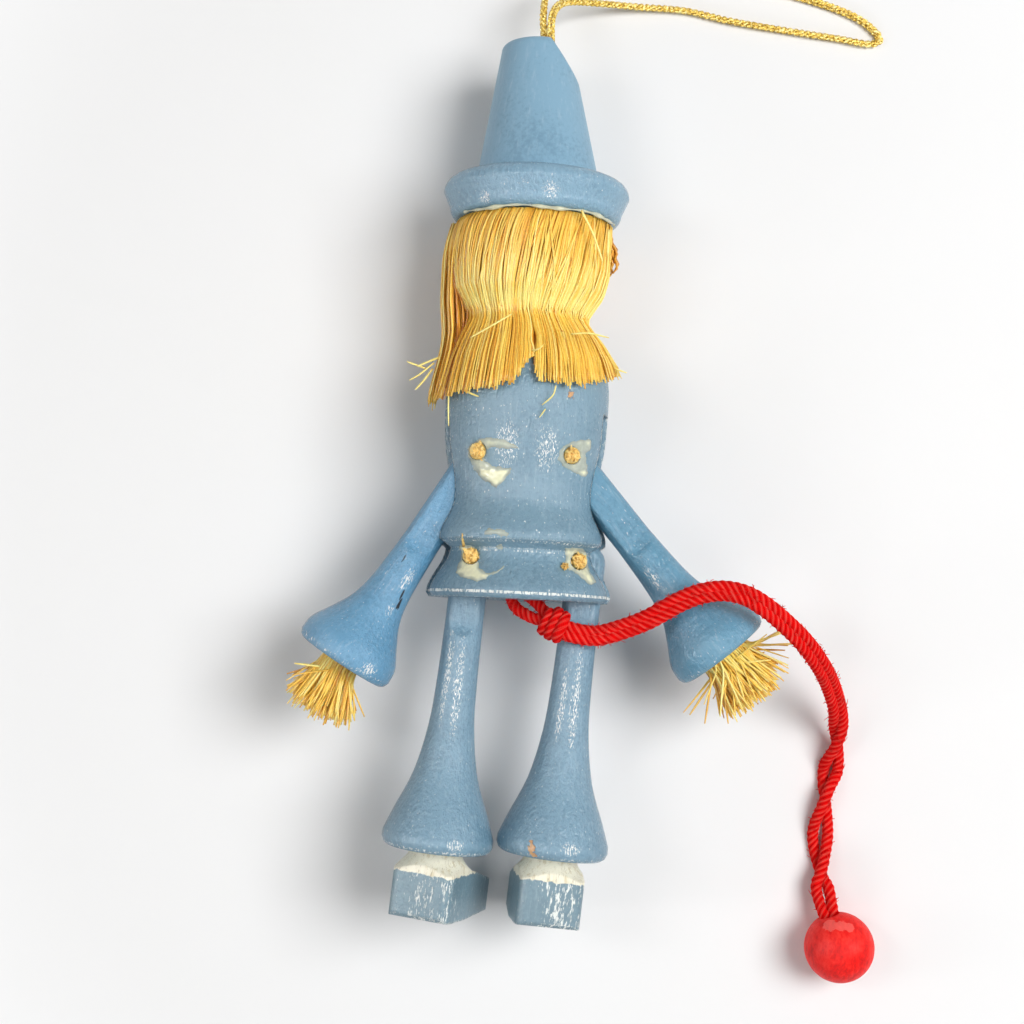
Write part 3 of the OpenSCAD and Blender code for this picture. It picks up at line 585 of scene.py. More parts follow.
def bare_wood_material():
    """Toothpick wood with brown broken fibres."""
    material, g, shader = new_material("bare_wood")
    grain = g.noise(g.stretched(g.seen(), (2600.0, 2600.0, 500.0)), 1.0, 3.0, 0.65)
    colour = g.ramp(grain, (0.28, rgb(160, 98, 40)), (0.42, rgb(240, 196, 104)), (0.7, rgb(255, 232, 160)))
    g.fill(shader, {"Base Color": colour, "Normal": g.bump(grain, 0.0002), "Roughness": 0.6})
    return material


def ball_material():
    """Matte red paint with brush marks."""
    material, g, shader = new_material("ball_paint")
    moved = g.vector("SUBTRACT", g.seen(), tuple(BALL_CENTRE * MM))
    brushed = g.noise(g.stretched(moved, (1500.0, 700.0, 900.0)), 1.0, 3.0, 0.7)
    mixed = g.math("MULTIPLY_ADD", brushed, 0.6, g.math("MULTIPLY", g.noise(g.seen(), 260.0), 0.4))
    tone = g.ramp(mixed, (0.34, rgb(200, 12, 12)), (0.5, rgb(238, 24, 18)), (0.68, rgb(252, 56, 46)))
    glue = spots(g, piece_place(g, BALL_CENTRE, 0.0), BALL_GLUE, 1.4)
    colour = g.mix(g.math("MULTIPLY", glue, 0.5), tone, rgb(252, 120, 112))
    g.fill(shader, {"Base Color": colour, "Normal": g.bump(brushed, 0.00012)})
    g.fill(shader, {"Roughness": 0.5, "Specular IOR Level": 0.2})
    return material


def string_material():
    """Plain cotton string."""
    material, g, shader = new_material("thin_string")
    normal = g.bump(g.noise(g.seen(), 5000.0), 0.0002)
    g.fill(shader, {"Base Color": rgb(214, 208, 192), "Normal": normal, "Roughness": 0.8})
    return material


def face_material():
    """Pale painted face: two dot eyes, a smile and pink cheeks on the front, plain paint elsewhere."""
    material, g, shader = new_material("face_paint")
    place = piece_place(g, AXIS, 0.0)
    mottle = g.noise(place, 0.8, 3.0)
    tone = g.mix(mottle, rgb(232, 196, 160), rgb(244, 214, 182))
    down = HEAD_Z + 1.0
    front = -HEAD_R
    cheek = spots(g, place, [(side * 5.6, front + 2.2, down + 3.0, 2.6) for side in (-1, 1)])
    tone = g.mix(g.math("MULTIPLY", cheek, 0.6), tone, rgb(226, 128, 112))
    xyz = g.add("SeparateXYZ", (place,)).outputs
    below = g.math("SUBTRACT", xyz[2], down)
    away = g.math("SQRT", g.math("ADD", g.math("POWER", xyz[0], 2.0), g.math("POWER", below, 2.0)))
    smile = g.math("MULTIPLY", band(g, away, 5.4, 0.5), g.step(xyz[2], down + 3.2, down + 3.6))
    smile = g.math("MULTIPLY", smile, g.under(xyz[1], -1.0, 0.0))
    tone = g.mix(smile, tone, rgb(150, 40, 36))
    for side in (-1, 1):
        away = g.vector("DISTANCE", place, (side * 3.9, front + 1.2, down - 2.6))
        tone = g.mix(g.under(away, 1.2, 1.4), tone, rgb(28, 26, 30))
    g.fill(shader, {"Base Color": tone, "Normal": g.bump(mottle, 0.00004), "Roughness": 0.4})
    return material


def nose_material():
    """Red nose paint."""
    material, g, shader = new_material("nose_paint")
    colour = g.ramp(g.noise(piece_place(g, AXIS, 0.0), 1.2), (0.3, rgb(176, 52, 40)), (0.7, rgb(206, 78, 60)))
    g.fill(shader, {"Base Color": colour, "Roughness": 0.4})
    return material


def foot_material(limb, ridge):
    """Cream sock above a blue shoe, whose paint is worn in streaks down to white, most at its ridge."""
    material, g, shader = new_material(limb.replace("leg", "shoe"))
    place = piece_place(g, on_limb(limb, 0, 0, 0), LIMBS[limb][2])
    edge = use_group(g, "edge", Radius=SHOE_EDGE_RADIUS)
    xyz = g.add("SeparateXYZ", (place,)).outputs
    streak = g.noise(g.stretched(place, (1.0, 1.0, 0.2)), 2.0, 3.0, 0.7)
    ridged = g.math("MULTIPLY", band(g, xyz[0], ridge, 5.0), 0.24)
    wear = g.math("MULTIPLY_ADD", edge["Edge"], 0.34, ridged)
    wear = g.math("ADD", wear, g.math("MULTIPLY", g.step(streak, 0.44, 0.64), 0.36))
    paint = use_group(g, "paint", Place=place, Paint=rgb(115, 143, 156), Wear=wear, Flecks=0.4, Roughness=0.3)
    check = g.noise(g.stretched(place, (1.0, 1.0, 0.12)), 1.6, 2.0)
    crack = g.under(g.math("ABSOLUTE", g.math("SUBTRACT", check, 0.56)), 0.004, 0.012)
    stain = g.step(g.noise(g.stretched(place, (1.0, 1.0, 0.3)), 1.3, 3.0, 0.6), 0.3, 0.5)
    cream = g.mix(stain, rgb(222, 210, 176), rgb(246, 240, 218))
    cream = g.mix(g.math("MULTIPLY", crack, 0.5), cream, rgb(140, 118, 84))
    line = g.math("ADD", xyz[2], g.math("MULTIPLY_ADD", g.noise(place, 0.7, 2.0), 1.2, -0.6))
    shoe = g.step(line, SHOE_LINE - 0.1, SHOE_LINE + 0.1)
    colour = g.mix(shoe, cream, paint["Color"])
    normal = g.bump(paint["Height"], 0.0001, Normal=edge["Normal"])
    g.fill(shader, {"Base Color": colour, "Roughness": paint["Roughness"], "Normal": normal})
    return material


BALL_CENTRE = np.array([*PULL_ROUTE[-1][:2], 6.0])

# Thin glue where the cord goes into the ball: across, back, along and radius from its centre
BALL_GLUE = ((-2.4, 3.4, -4.3, 1.3), (-0.6, 4.0, -4.3, 1.2), (0.8, 4.2, -4.1, 0.9))

HAT_BLUE = rgb(127, 165, 188)
COAT_BLUE = rgb(116, 150, 169)
LEFT_ARM_BLUE = rgb(100, 155, 190)
RIGHT_ARM_BLUE = rgb(96, 150, 178)
LEG_BLUE = rgb(118, 154, 175)


def limb_paint(limb, colour, **named):
    """The paint of a limb, in its own frame."""
    return painted(f"{limb}_paint", colour, on_limb(limb, 0, 0, 0), LIMBS[limb][2], **named)


# Each paint's highlight patches are painted highlights: white glints on the chest, the brim, the sleeves, the legs
# and the rims of a cuff and of the bells
MATERIALS = {
    "crown": painted("crown_paint", HAT_BLUE, AXIS, flecks=0.0, relief=0.00006, rough=0.36),
    "brim": painted(
        "brim_paint", HAT_BLUE, AXIS, flecks=0.7, rough=0.05, edge_wear=0.5,
        chips=((-8.8, 12.6, 4.6, 0.8),),
        scuffs=((2.4, 15.3, 4.0, 2.4, 1.0), (-9.0, 12.2, 5.2, 2.2, 1.0)),
    ),
    "coat": painted(
        "coat_paint", COAT_BLUE, AXIS, flecks=0.8, rough=0.05, edge_wear=0.5,
        # The bands at 61.4 and 62.9 paint white lines on the belt's ridges, partly wear and partly painted highlights
        wear_bands=((69.7, 0.36, 0.56), (61.4, 0.3, 0.42), (62.9, 0.3, 0.42)),
        chips=((6.9, 11.7, 36.9, 0.7),),
        scuffs=((-3.3, 14.6, 46.4, 4.0, 1.8), (4.1, 14.6, 46.8, 4.2, 1.7)),
    ),
    "left_arm": limb_paint(
        "left_arm", LEFT_ARM_BLUE, wear_bands=((40.6, 0.8, 0.36),),
        scuffs=(
            (1.2, 3.4, 17.0, 1.3, 2.5), (2.0, 3.4, 23.5, 1.6, 2.4), (2.6, 4.2, 29.0, 1.4, 2.0),
            (5.2, 6.9, 39.6, 2.6, 0.7),
        ),
        cracks=(
            (2.5, 2.9, 26.0, 0.24), (2.9, 2.7, 28.2, 0.27), (3.0, 1.9, 14.5, 0.32), (2.7, 2.3, 18.0, 0.3),
            (-0.6, 3.4, 21.0, 0.2),
        ),
    ),
    "right_arm": limb_paint(
        "right_arm", RIGHT_ARM_BLUE, wear_bands=((40.6, 0.8, 0.3),),
        scuffs=((-2.0, 3.4, 16.0, 1.3, 3.0), (-1.8, 3.4, 24.0, 1.4, 3.0)),
    ),
    "left_leg": limb_paint(
        "left_leg", LEG_BLUE, wear_bands=((48.1, 0.45, 0.42),),
        scuffs=((-1.8, 3.2, 18.0, 1.2, 12.0), (0.4, 3.8, 20.0, 1.4, 11.0), (3.0, 8.0, 46.8, 2.6, 0.6)),
    ),
    "right_leg": limb_paint(
        "right_leg", LEG_BLUE, wear_bands=((48.1, 0.45, 0.36),),
        scuffs=((0.9, 3.8, 21.0, 1.5, 10.5), (-1.4, 3.5, 23.0, 1.1, 10.0), (2.6, 8.2, 46.4, 2.6, 0.6)),
        chips=(
            (-3.4, 8.8, 47.9, 0.7), (-3.6, 8.8, 47.2, 0.66), (-3.8, 8.9, 46.5, 0.66), (-3.9, 8.9, 45.8, 0.66),
            (-4.0, 8.9, 45.1, 0.64), (-2.6, 9.3, 44.5, 0.6), (-1.4, 9.5, 44.4, 0.6),
        ),
    ),
    "left_foot": foot_material("left_leg", 0.3),
    "right_foot": foot_material("right_leg", 3.0),
    "straw": straw_material(),
    "red_cord": red_cord_material(),
    "gold_cord": gold_cord_material(),
    "hot_glue": glue_material(),
    "bare_wood": bare_wood_material(),
    "ball": ball_material(),
    "thin_string": string_material(),
    "face": face_material(),
    "nose": nose_material(),
}


# Camera


CAMERA_AT = np.array([-3.93, -26.19, 305.4])
CAMERA_TILT = math.radians(3.96)
PICTURE_LEAN = math.radians(2.7024)
LENS_MM = 60.117
SENSOR_MM = 36


def place_camera():
    """The photograph's view, from above the doll's back and tilted a little towards its head."""
    up_on_table = Vector((-math.sin(PICTURE_LEAN), math.cos(PICTURE_LEAN), 0))
    above = Vector((0, 0, 1))
    ahead = up_on_table * math.sin(CAMERA_TILT) - above * math.cos(CAMERA_TILT)
    up = up_on_table * math.cos(CAMERA_TILT) + above * math.sin(CAMERA_TILT)
    right = ahead.cross(up)
    data = bpy.data.cameras.new("photo_camera")
    data.lens = LENS_MM
    data.sensor_width = SENSOR_MM
    data.clip_start = 0.01
    camera = bpy.data.objects.new("photo_camera", data)
    bpy.context.scene.collection.objects.link(camera)
    turn = Matrix((right, up, -ahead)).transposed().to_4x4()
    camera.matrix_world = Matrix.Translation(Vector(CAMERA_AT * MM)) @ turn
    bpy.context.scene.camera = camera


# Cords


def pull_strand(side):
    """Centre line of one strand of the pull cord."""
    turns = [90 * max(0, min(TWIST_QUARTERS, i - TWIST_FROM)) for i in range(len(PULL_ROUTE))]
    route = smooth_route([(*p, turn) for p, turn in zip(PULL_ROUTE, turns)], 0.2)
    ahead = unit(np.gradient(route[:, :3], axis=0))
    flat = unit(np.stack([-ahead[:, 1], ahead[:, 0], np.zeros(len(ahead))], axis=1))
    turn = np.radians(route[:, 4])[:, None]
    way = np.cos(turn) * flat + np.sin(turn) * np.cross(ahead, flat)
    return route[:, :3] + side * ((route[:, 3] - STRAND_SQUEEZE) * STRAND_R)[:, None] * way


def make_pull_cord():
    """Two twisted red strands side by side and their knot below the hem, each strand with loose fibres."""
    knot = make_pull_knot()
    for side, name in ((-1, "pull_strand_left"), (1, "pull_strand_right")):
        path = pull_strand(side)
        strand = red_tube(name, path, STRAND_R * 1.2, 24)
        if side < 0:
            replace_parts(strand, "pull_cord")
        fuzz = make_cord_fuzz(name + "_fuzz", path)


def make_cord_fuzz(name, path):
    """Short fibres that stand off a red strand and lean along it, clear of the table."""
    fuzz, draw = Fibres(), np.random.default_rng(FUZZ_SEED)
    across, over = carried(path)
    ahead = unit(np.gradient(path, axis=0))
    for i in draw.integers(4, len(path) - 4, FUZZ_COUNT):
        turn = draw.uniform(0, 2 * math.pi)
        out = math.cos(turn) * across[i] + math.sin(turn) * over[i]
        foot = path[i] + out * STRAND_R * 0.95
        lean = ahead[i] * draw.normal(0, 0.35) + np.cross(ahead[i], out) * draw.normal(0, 0.3)
        tall = draw.uniform(0.25, 0.6)
        bend = foot + out * tall * 0.6 + lean * 0.4
        tip = foot + out * tall + lean * 1.3
        if tip[2] > 0.1:
            fuzz.add([foot, bend, tip], draw.uniform(0.05, 0.085), [0.3, 0.2, 1], 1.0)
    piece = fuzz.piece(name, "pull_body", "red_cord")
    count = len(piece.data.vertices)
    set_values(piece, "yarn", draw.uniform(0, 9, (count, 3)))
    set_values(piece, "crest", np.full(count, 0.8))
    return piece


# The knot's turns and the angle they start at, its length along the cord, half its width and half its height
KNOT_TURNS, KNOT_START = 2.6, 0.6
KNOT_LONG, KNOT_WIDE, KNOT_HIGH = 4.0, 2.1, 1.4


def make_pull_knot():
    """Slanting turns of the cord round both strands, some two and a half of them."""
    middle = smooth_route(PULL_ROUTE, 0.22)[:, :3]
    at = np.argmin(np.linalg.norm(middle - np.array(PULL_ROUTE[KNOT_AT][:3]), axis=1))
    ahead = unit(middle[at + 6] - middle[at - 6])
    side = unit(np.array([-ahead[1], ahead[0], 0]))
    over = np.cross(ahead, side)
    t = np.linspace(0, 1, 220)[:, None]
    turn = 2 * math.pi * KNOT_TURNS * t + KNOT_START
    route = (
        middle[at]
        + ahead * (KNOT_LONG * (t - 0.5) + 0.8 * np.sin(turn))
        + side * KNOT_WIDE * np.cos(turn) * (1 - 0.25 * (2 * t - 1) ** 4)
        + over * KNOT_HIGH * np.sin(turn) * (1 - 0.2 * (2 * t - 1) ** 4)
    )
    knot = red_tube("pull_knot_turns", route, STRAND_R * 1.05, 20)
    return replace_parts(knot, "pull_knot")


# The braid: how many threads, how long a turn is, and how far from its middle the threads lie across and over it
THREADS, BRAID_PITCH = 4, 4.4
BRAID_WIDE, BRAID_FLAT = 0.4, 0.75

# One thread: its radius, its plies (how many, how deep, how long a turn is) and the sides of its section
THREAD_R, THREAD_PLIES, THREAD_SIDES = 0.33, (2, 0.25, 1.3), 7


def make_hanging_loop():
    """Gold cord braided from four threads along the loop's route."""
    path = smooth_route(LOOP_ROUTE, 0.16)
    across, over = carried(path)
    way = distances(path)
    verts, faces = [], []
    for thread in range(THREADS):
        turn = 2 * math.pi * (way / BRAID_PITCH + thread / THREADS)
        line = path + BRAID_WIDE * (np.cos(turn)[:, None] * across + BRAID_FLAT * np.sin(2 * turn)[:, None] * over)
        faces += ring_faces(len(line), THREAD_SIDES, sum(len(v) for v in verts))
        verts.append(twisted_tube(line, THREAD_R, *THREAD_PLIES, THREAD_SIDES)[0])
    loop = new_piece("gold_loop", np.vstack(verts), faces, "doll", "gold_cord")
    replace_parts(loop, "hanging_loop")


# Strings in the slot


# Radius of the strings, and how far out of the slot's middle the stop knots, the pull string and the ties lie
STRING_R = 0.34
STOP_BACK, PULL_BACK, LINK_BACK, TIE_BACK = -1.75, 0.84, 1.6, 1.75

# Plies of a string (how many, how deep, how long a turn is) and the sides of its section
STRING_PLIES, STRING_SIDES = (3, 0.24, 1.7), 12

# Where the pull string passes the arms' string and the legs' string, across the doll, and where it ends
PULL_ACROSS = {"arm": 0.0, "leg": 0.2}
PULL_END = (0.3, 67.2)

# The eyes of the levers, across from the limb's middle and along from its peg
EYES = {"left_arm": (0, -5.4), "right_arm": (0, -5.4), "left_leg": (5.26, -1.92), "right_leg": (-6.76, -1.92)}


def string_piece(name, path, radius, body, node):
    """Plied cotton string along a path, for a node."""
    verts = twisted_tube(path, radius, *STRING_PLIES, STRING_SIDES)[0]
    piece = new_piece(name, verts, ring_faces(len(path), STRING_SIDES), body, "thin_string")
    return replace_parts(piece, node)


def wound(middle, axis, turns, radius, length):
    """Points of a string wound round an axis."""
    axis = unit(np.array(axis, float))
    side = unit(np.cross(axis, [0.3, 0.2, 1.0]))
    t = np.linspace(0, 1, round(turns * 14))[:, None]
    turn = 2 * math.pi * turns * t
    ring = np.cos(turn) * side + np.sin(turn) * np.cross(axis, side)
    return middle + axis * length * (t - 0.5) + radius * ring


def make_link_string(limb):
    """A string from lever to lever: two lengths that swing with the limbs, and the tie between them."""
    sides = {side: f"{side}_{limb}" for side in ("left", "right")}
    eyes = {side: on_limb(name, EYES[name][0], LINK_BACK, EYES[name][1]) for side, name in sides.items()}
    span = eyes["right"] - eyes["left"]
    middle = eyes["left"] + span * (AXIS[0] + PULL_ACROSS[limb] - eyes["left"][0]) / span[0]
    middle[2] += TIE_BACK - LINK_BACK
    out = np.array([0, 0, 1.0])
    for side, name in sides.items():
        eye = eyes[side]
        stop = eye + out * (STOP_BACK - LINK_BACK)
        ahead = unit(middle - eye)
        points = [
            *wound(stop, out, 1.7, 0.3, 0.2), stop + out * 0.6, eye - out * 1.4, eye - out * 0.5,
            eye - out * 0.12 + ahead * 0.12, eye + ahead * 0.5, eye + ahead * 1.2, middle - ahead * 1.0,
            middle - ahead * 0.45,
        ]
        string_piece(f"{name}_string", smooth_route(points, 0.12), STRING_R, f"{name}_body", f"{limb}_string")
    string_piece(f"{limb}_string_tie", wound(middle, span, 2.5, 0.36, 0.5), 0.2, "pull_body", f"{limb}_string")
    return middle


def make_slot_strings():
    """The strings in the slot that join the levers to the pull cord."""
    arm_tie, leg_tie = make_link_string("arm"), make_link_string("leg")
    back = np.array([0, 0, PULL_BACK - TIE_BACK])
    end = doll(PULL_END[0], SLOT_MID + PULL_BACK, PULL_END[1])
    down = unit(end - arm_tie)
    points = [arm_tie, arm_tie + back * 0.5 + down * 0.5, arm_tie + back + down * 1.6, leg_tie + back, end - down]
    string_piece("pull_string", smooth_route([*points, end], 0.15), 0.26, "pull_body", "centre_string")
    string_piece("pull_string_knot", wound(end, (0.2, 1, 0.1), 3.2, 0.72, 1.5), 0.42, "pull_body", "centre_string")


# Straw


# Outline of the back hair: distance down from the brim's middle, distance from the axis, share of the left shift
HAIR_OUTLINE = np.array([
    (6.5, 13.0, 0.0), (8.2, 13.5, 0.6), (11.0, 13.7, 1.0), (15.0, 13.7, 1.1), (18.5, 13.0, 1.3), (21.0, 11.4, 1.3),
    (22.7, 10.3, 1.2), (24.2, 10.8, 0.7), (27.0, 12.6, 0.2), (30.5, 14.2, 0.0), (34.0, 15.1, 0.0), (38.0, 15.9, 0.0),
])
HAIR_SHIFT = -0.8
RIGHT_FLARE = 2.6
# Where the painted highlight over the pinch lies, down from the brim's middle
PINCH_SHINE = 21.2

# The parting over the notch: its angle and how far down it is
PARTING = (3.2, 28.0)

# How far down the straw ends at each angle round the back, in degrees from its middle
HAIR_ENDS = np.array([
    (-100, 37.0), (-60, 37.6), (-30, 36.9), (-9, 35.6), (-3, 33.2), (1.5, 30.6), (5, 33.6), (9, 35.4), (30, 35.2),
    (58, 33.6), (80, 31.6), (100, 30.0),
])


def outline_at(down):
    """How far the back hair lies from the axis so far down, and how far it is shifted across."""
    radius, share = (np.interp(down, HAIR_OUTLINE[:, 0], HAIR_OUTLINE[:, k]) for k in (1, 2))
    return radius, HAIR_SHIFT * share


def round_route(radius, angle, down, shift=0.0):
    """Places at a distance from the doll's axis and an angle from its back, so far down."""
    rows = zip(*np.broadcast_arrays(radius, angle, down, shift))
    return np.array([doll(r * math.sin(a) + s, r * math.cos(a), z) for r, a, z, s in rows])


def hair_route(angle, depth, end, spread, wander, lean):
    """A fibre of the back hair at an angle, so deep in it, leaning at its root and spreading towards its tip."""
    down = HAIR_OUTLINE[0, 0] + (end - HAIR_OUTLINE[0, 0]) * np.linspace(0, 1, 24)
    below = np.clip((down - NECK_Z) / 14, 0, 1)
    flare = RIGHT_FLARE * np.clip((angle - 40) / 50, 0, 1) * below**2
    radius, shift = outline_at(down)
    above = np.clip((NECK_Z - down) / 16, 0, 1)
    waves = wander * np.sin(down / 3.1 + angle)
    bend = np.radians(angle + spread * below + lean * above + waves + parted(angle, down, depth))
    return round_route(radius - depth + flare, bend, down, shift), down


def parted(angle, down, depth):
    """Degrees by which the upper fibres give way to the small dark parting over the notch."""
    away = angle - PARTING[0]
    near = math.exp(-((away / 5.0) ** 2)) * (depth < 1)
    return near * math.copysign(2.0, away) * np.exp(-(((down - PARTING[1]) / 1.3) ** 2))


def painted_shine(down):
    """How much lighter the straw's tone is painted so far down: a painted highlight over the swell and the pinch, and
    a touch darker under it.
    """
    swell = 0.26 * np.exp(-(((down - 18.5) / 4.0) ** 2))
    pinch = 0.34 * np.exp(-(((down - PINCH_SHINE) / 1.0) ** 2))
    return swell + pinch - 0.02 * np.clip((down - PINCH_SHINE - 1.0) / 1.5, 0, 1)


# Angles of the clumps that the tips draw together in
CLUMPS = np.array([-92, -80, -66, -55, -43, -30, -19, -8, 6, 15, 26, 38, 51, 63, 77, 90])


def clump_pull(angle):
    """How far a tip is drawn towards the middle of its clump."""
    return 0.2 * (CLUMPS[np.argmin(np.abs(CLUMPS - angle))] - angle)


# Layers of the back hair, from the skin out: how many fibres, how deep, how thick and how light
# The deeper layers are painted darker as shade, and the innermost is a dark layer that stands where there is only
# shade
HAIR_LAYERS = ((90, 1.15, 0.5, 0.1), (230, 0.6, 0.2, 0.3), (380, 0.1, 0.165, 0.5), (60, -0.14, 0.13, 0.62))


def make_back_hair():
    """Shiny straw glued round the back of the head, pinched at the neck and cut straight."""
    hair = Fibres()
    for count, depth, width, tone in HAIR_LAYERS:
        for i in range(count):
            angle = HAIR_REACH * (2 * (i + 0.5) / count - 1) + chance.normal(0, 0.4)
            end = np.interp(angle, HAIR_ENDS[:, 0], HAIR_ENDS[:, 1]) - depth * 1.5 + chance.normal(0, 0.34)
            lean = 9 * math.cos(math.radians(angle) * 0.8) + chance.normal(0, 2 if depth > 0 else 6)
            route, down = hair_route(
                angle, depth + chance.uniform(-0.16, 0.14), end, clump_pull(angle) + chance.normal(0, 1.2),
                chance.normal(0, 0.4), lean,
            )
            up = [math.sin(math.radians(angle)), 0, math.cos(math.radians(angle))]
            thick = width * chance.uniform(0.7, 1.3)
            # The tone carries a painted highlight over the swell and the pinch of the hair
            hair.add(route, thick, up, tone + painted_shine(down) + chance.normal(0, 0.17), tip=0.9)
    for width, *places in STRAY_FIBRES:
        hair.add(smooth_route([doll(*place) for place in places], 0.6), width, [0, 0, 1], 0.95)
    piece = hair.piece("back_hair_straw", "doll")
    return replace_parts(piece, "back_hair")


# Loose fibres that lie over the hair or stand out of its ends: width, and places across, back and down
STRAY_FIBRES = [
    (0.2, (7.4, 13.2, 6.6), (9.6, 12.3, 10.4), (11.4, 11.0, 14.6)),
    (0.22, (12.2, 9.0, 8.6), (12.2, 8.8, 13.0)),
    (0.17, (-3.2, 13.2, 24.3), (-6.3, 14.6, 26.6), (-9.8, 13.4, 28.6)),
    (0.15, (6.6, 13.6, 27.2), (9.6, 13.8, 27.0), (12.9, 11.6, 27.2)),
    (0.13, (4.5, 15.0, 36.0), (4.1, 14.8, 37.6), (2.4, 14.4, 39.2)),
    (0.12, (3.0, 14.3, 39.8), (2.1, 14.2, 41.2)),
    (0.13, (0.4, 14.4, 30.3), (1.4, 14.9, 30.2), (2.2, 15.0, 29.4)),
    (0.2, (-15.2, 3.0, 30.4), (-17.6, 3.5, 31.6), (-18.8, 3.5, 32.2)),
    (0.18, (-17.4, 3.0, 32.4), (-20.6, 3.2, 31.4)),
    (0.16, (-16.0, 3.2, 31.4), (-18.4, 3.6, 33.6), (-20.0, 3.6, 34.6)),
    (0.2, (-16.2, 3.0, 32.4), (-17.6, 3.6, 34.6), (-18.9, 3.8, 36.2)),
    (0.14, (-13.0, 8.4, 36.0), (-13.0, 8.4, 39.0), (-12.8, 8.2, 42.6)),
    (0.18, (-11.4, 10.6, 36.4), (-9.4, 11.6, 37.4), (-8.0, 12.4, 38.0)),
    (0.16, (14.4, 6.0, 31.4), (16.4, 6.0, 32.0)),
]


# Outline of the side lock: distance down and distance from the axis
LOCK_OUTLINE = np.array([
    (7.2, 14.3), (10.0, 15.0), (13.0, 15.5), (20.5, 15.5), (26.0, 14.9), (29.3, 15.2), (36.4, 16.8),
])
LOCK_TOP, LOCK_END = 7.2, 37.2

# Its layers: how many fibres, from which angle to which, and how deep at most
LOCK_LAYERS = ((90, -106, -80, 0.0), (150, -100, -68, 3.4))


def make_side_lock():
    """A looser layer that hangs down the doll's left side over the back hair, painted darker as shade where it is
    deep.
    """
    lock = Fibres()
    for count, near, far, sunk in LOCK_LAYERS:
        for i in range(count):
            angle = near + (far - near) * (i + 0.5) / count + chance.normal(0, 0.8)
            deep = chance.uniform(0.15, 1.0) * sunk
            down = np.linspace(LOCK_TOP, LOCK_END - 1.2 * deep + chance.normal(0, 0.6), 18)
            radius = np.interp(down, LOCK_OUTLINE[:, 0], LOCK_OUTLINE[:, 1]) - deep + chance.uniform(-0.7, 0.1)
            hair_radius, shift = outline_at(down)
            radius = np.maximum(radius, hair_radius - shift + 0.1)
            bend = np.radians(angle + chance.normal(0, 1.2) * np.sin(down / 4))
            width = chance.uniform(0.14, 0.24)
            # Deeper fibres are painted darker as shade
            tone = 0.52 - 0.14 * deep + chance.normal(0, 0.2)
            lock.add(round_route(radius, bend, down), width, [-1, 0, 0], tone)
    piece = lock.piece("side_lock_straw", "doll")
    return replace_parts(piece, "side_lock")


# The fringe: how many fibres, degrees that it reaches from the front, distance from the axis, and where it starts
# and ends; past TEMPLE degrees from the front it is a tuft
FRINGE_COUNT, FRINGE_REACH, FRINGE_R = 230, 76, 13.0
FRINGE_TOP, FRINGE_END = 6.5, 9.9
TEMPLE = 60


def make_fringe():
    """Short straw over the forehead, which ends in a coarse brown tuft at each temple."""
    fringe = Fibres()
    for i in range(FRINGE_COUNT):
        angle = 180 + FRINGE_REACH * (2 * (i + 0.5) / FRINGE_COUNT - 1) + chance.normal(0, 0.5)
        turn = math.radians(angle)
        tuft = np.clip((abs(angle - 180) - TEMPLE) / 6, 0, 1)
        end = FRINGE_END + chance.uniform(-0.5, 0.5) * (1 + 2 * tuft) + 2.4 * tuft
        down = np.linspace(FRINGE_TOP, end, 9)
        swell = np.sin((down - FRINGE_TOP) / (end - FRINGE_TOP) * 2.2)
        radius = FRINGE_R + (0.5 + 1.0 * tuft) * swell + chance.uniform(-0.5, 0.2)
        radius += tuft * (chance.uniform(-0.4, 0.6) + 0.3 * np.sin(down * 2.4 + angle))
        up = [math.sin(turn), 0, math.cos(turn)]
        width = chance.uniform(0.15, 0.24) + 0.12 * tuft
        fringe.add(round_route(radius, turn, down), width, up, 0.42 - 0.14 * tuft + chance.normal(0, 0.18))
    piece = fringe.piece("fringe_straw", "doll")
    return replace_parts(piece, "fringe")


# The straw hands: how deep they are glued in the cuffs, how far they reach out, and half their height at the root
HAND_SUNK, HAND_REACH, HAND_HIGH = 1.6, 9.0, 2.7

# The share of their fibres that lie astray, and how much more askew those are
STRAY_SHARE, STRAY_MORE = 0.12, 4.0


def make_hand(limb, root, fan, spread, count, crossing):
    """A bundle of straw, so wide at its root, that fans out of a cuff; crossing is how messy it is, in degrees."""
    hand = Fibres()
    for i in range(count):
        out = math.sqrt((i + 0.5) / count)
        turn = GOLDEN_TURN * i
        x, y = out * root * math.cos(turn), out * HAND_HIGH * math.sin(turn)
        reach = HAND_REACH + chance.normal(0, 0.8) - 1.2 * out * chance.random()
        stray = STRAY_MORE if chance.random() < STRAY_SHARE else 1.0
        lean = math.radians(fan + spread * out * math.cos(turn) + chance.normal(0, crossing * stray))
        rise = 0.16 * out * math.sin(turn) + chance.normal(0, 0.05)
        t = np.linspace(0, 1, 10)
        length = reach + HAND_SUNK
        bend = lean * np.clip(t * 2.2, 0, 1)
        along = ARM_LENGTH - HAND_SUNK + np.cumsum(np.cos(bend)) * length / 10
        across = x + np.cumsum(np.sin(bend)) * length / 10
        back = y + rise * length * t**1.5
        route = [on_limb(limb, *p) for p in zip(across, back, along)]
        # Fibres higher in the bundle get a lighter tone, a painted light on its top side
        tone = 0.54 + 0.16 * out * math.sin(turn) + chance.normal(0, 0.2)
        hand.add(route, chance.uniform(0.13, 0.21), [0, 0, 1], tone)
    side = limb.split("_")[0]
    piece = hand.piece(f"{side}_hand_straw", f"{side}_arm_body")
    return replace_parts(piece, f"{side}_hand")


# Glue and pegs


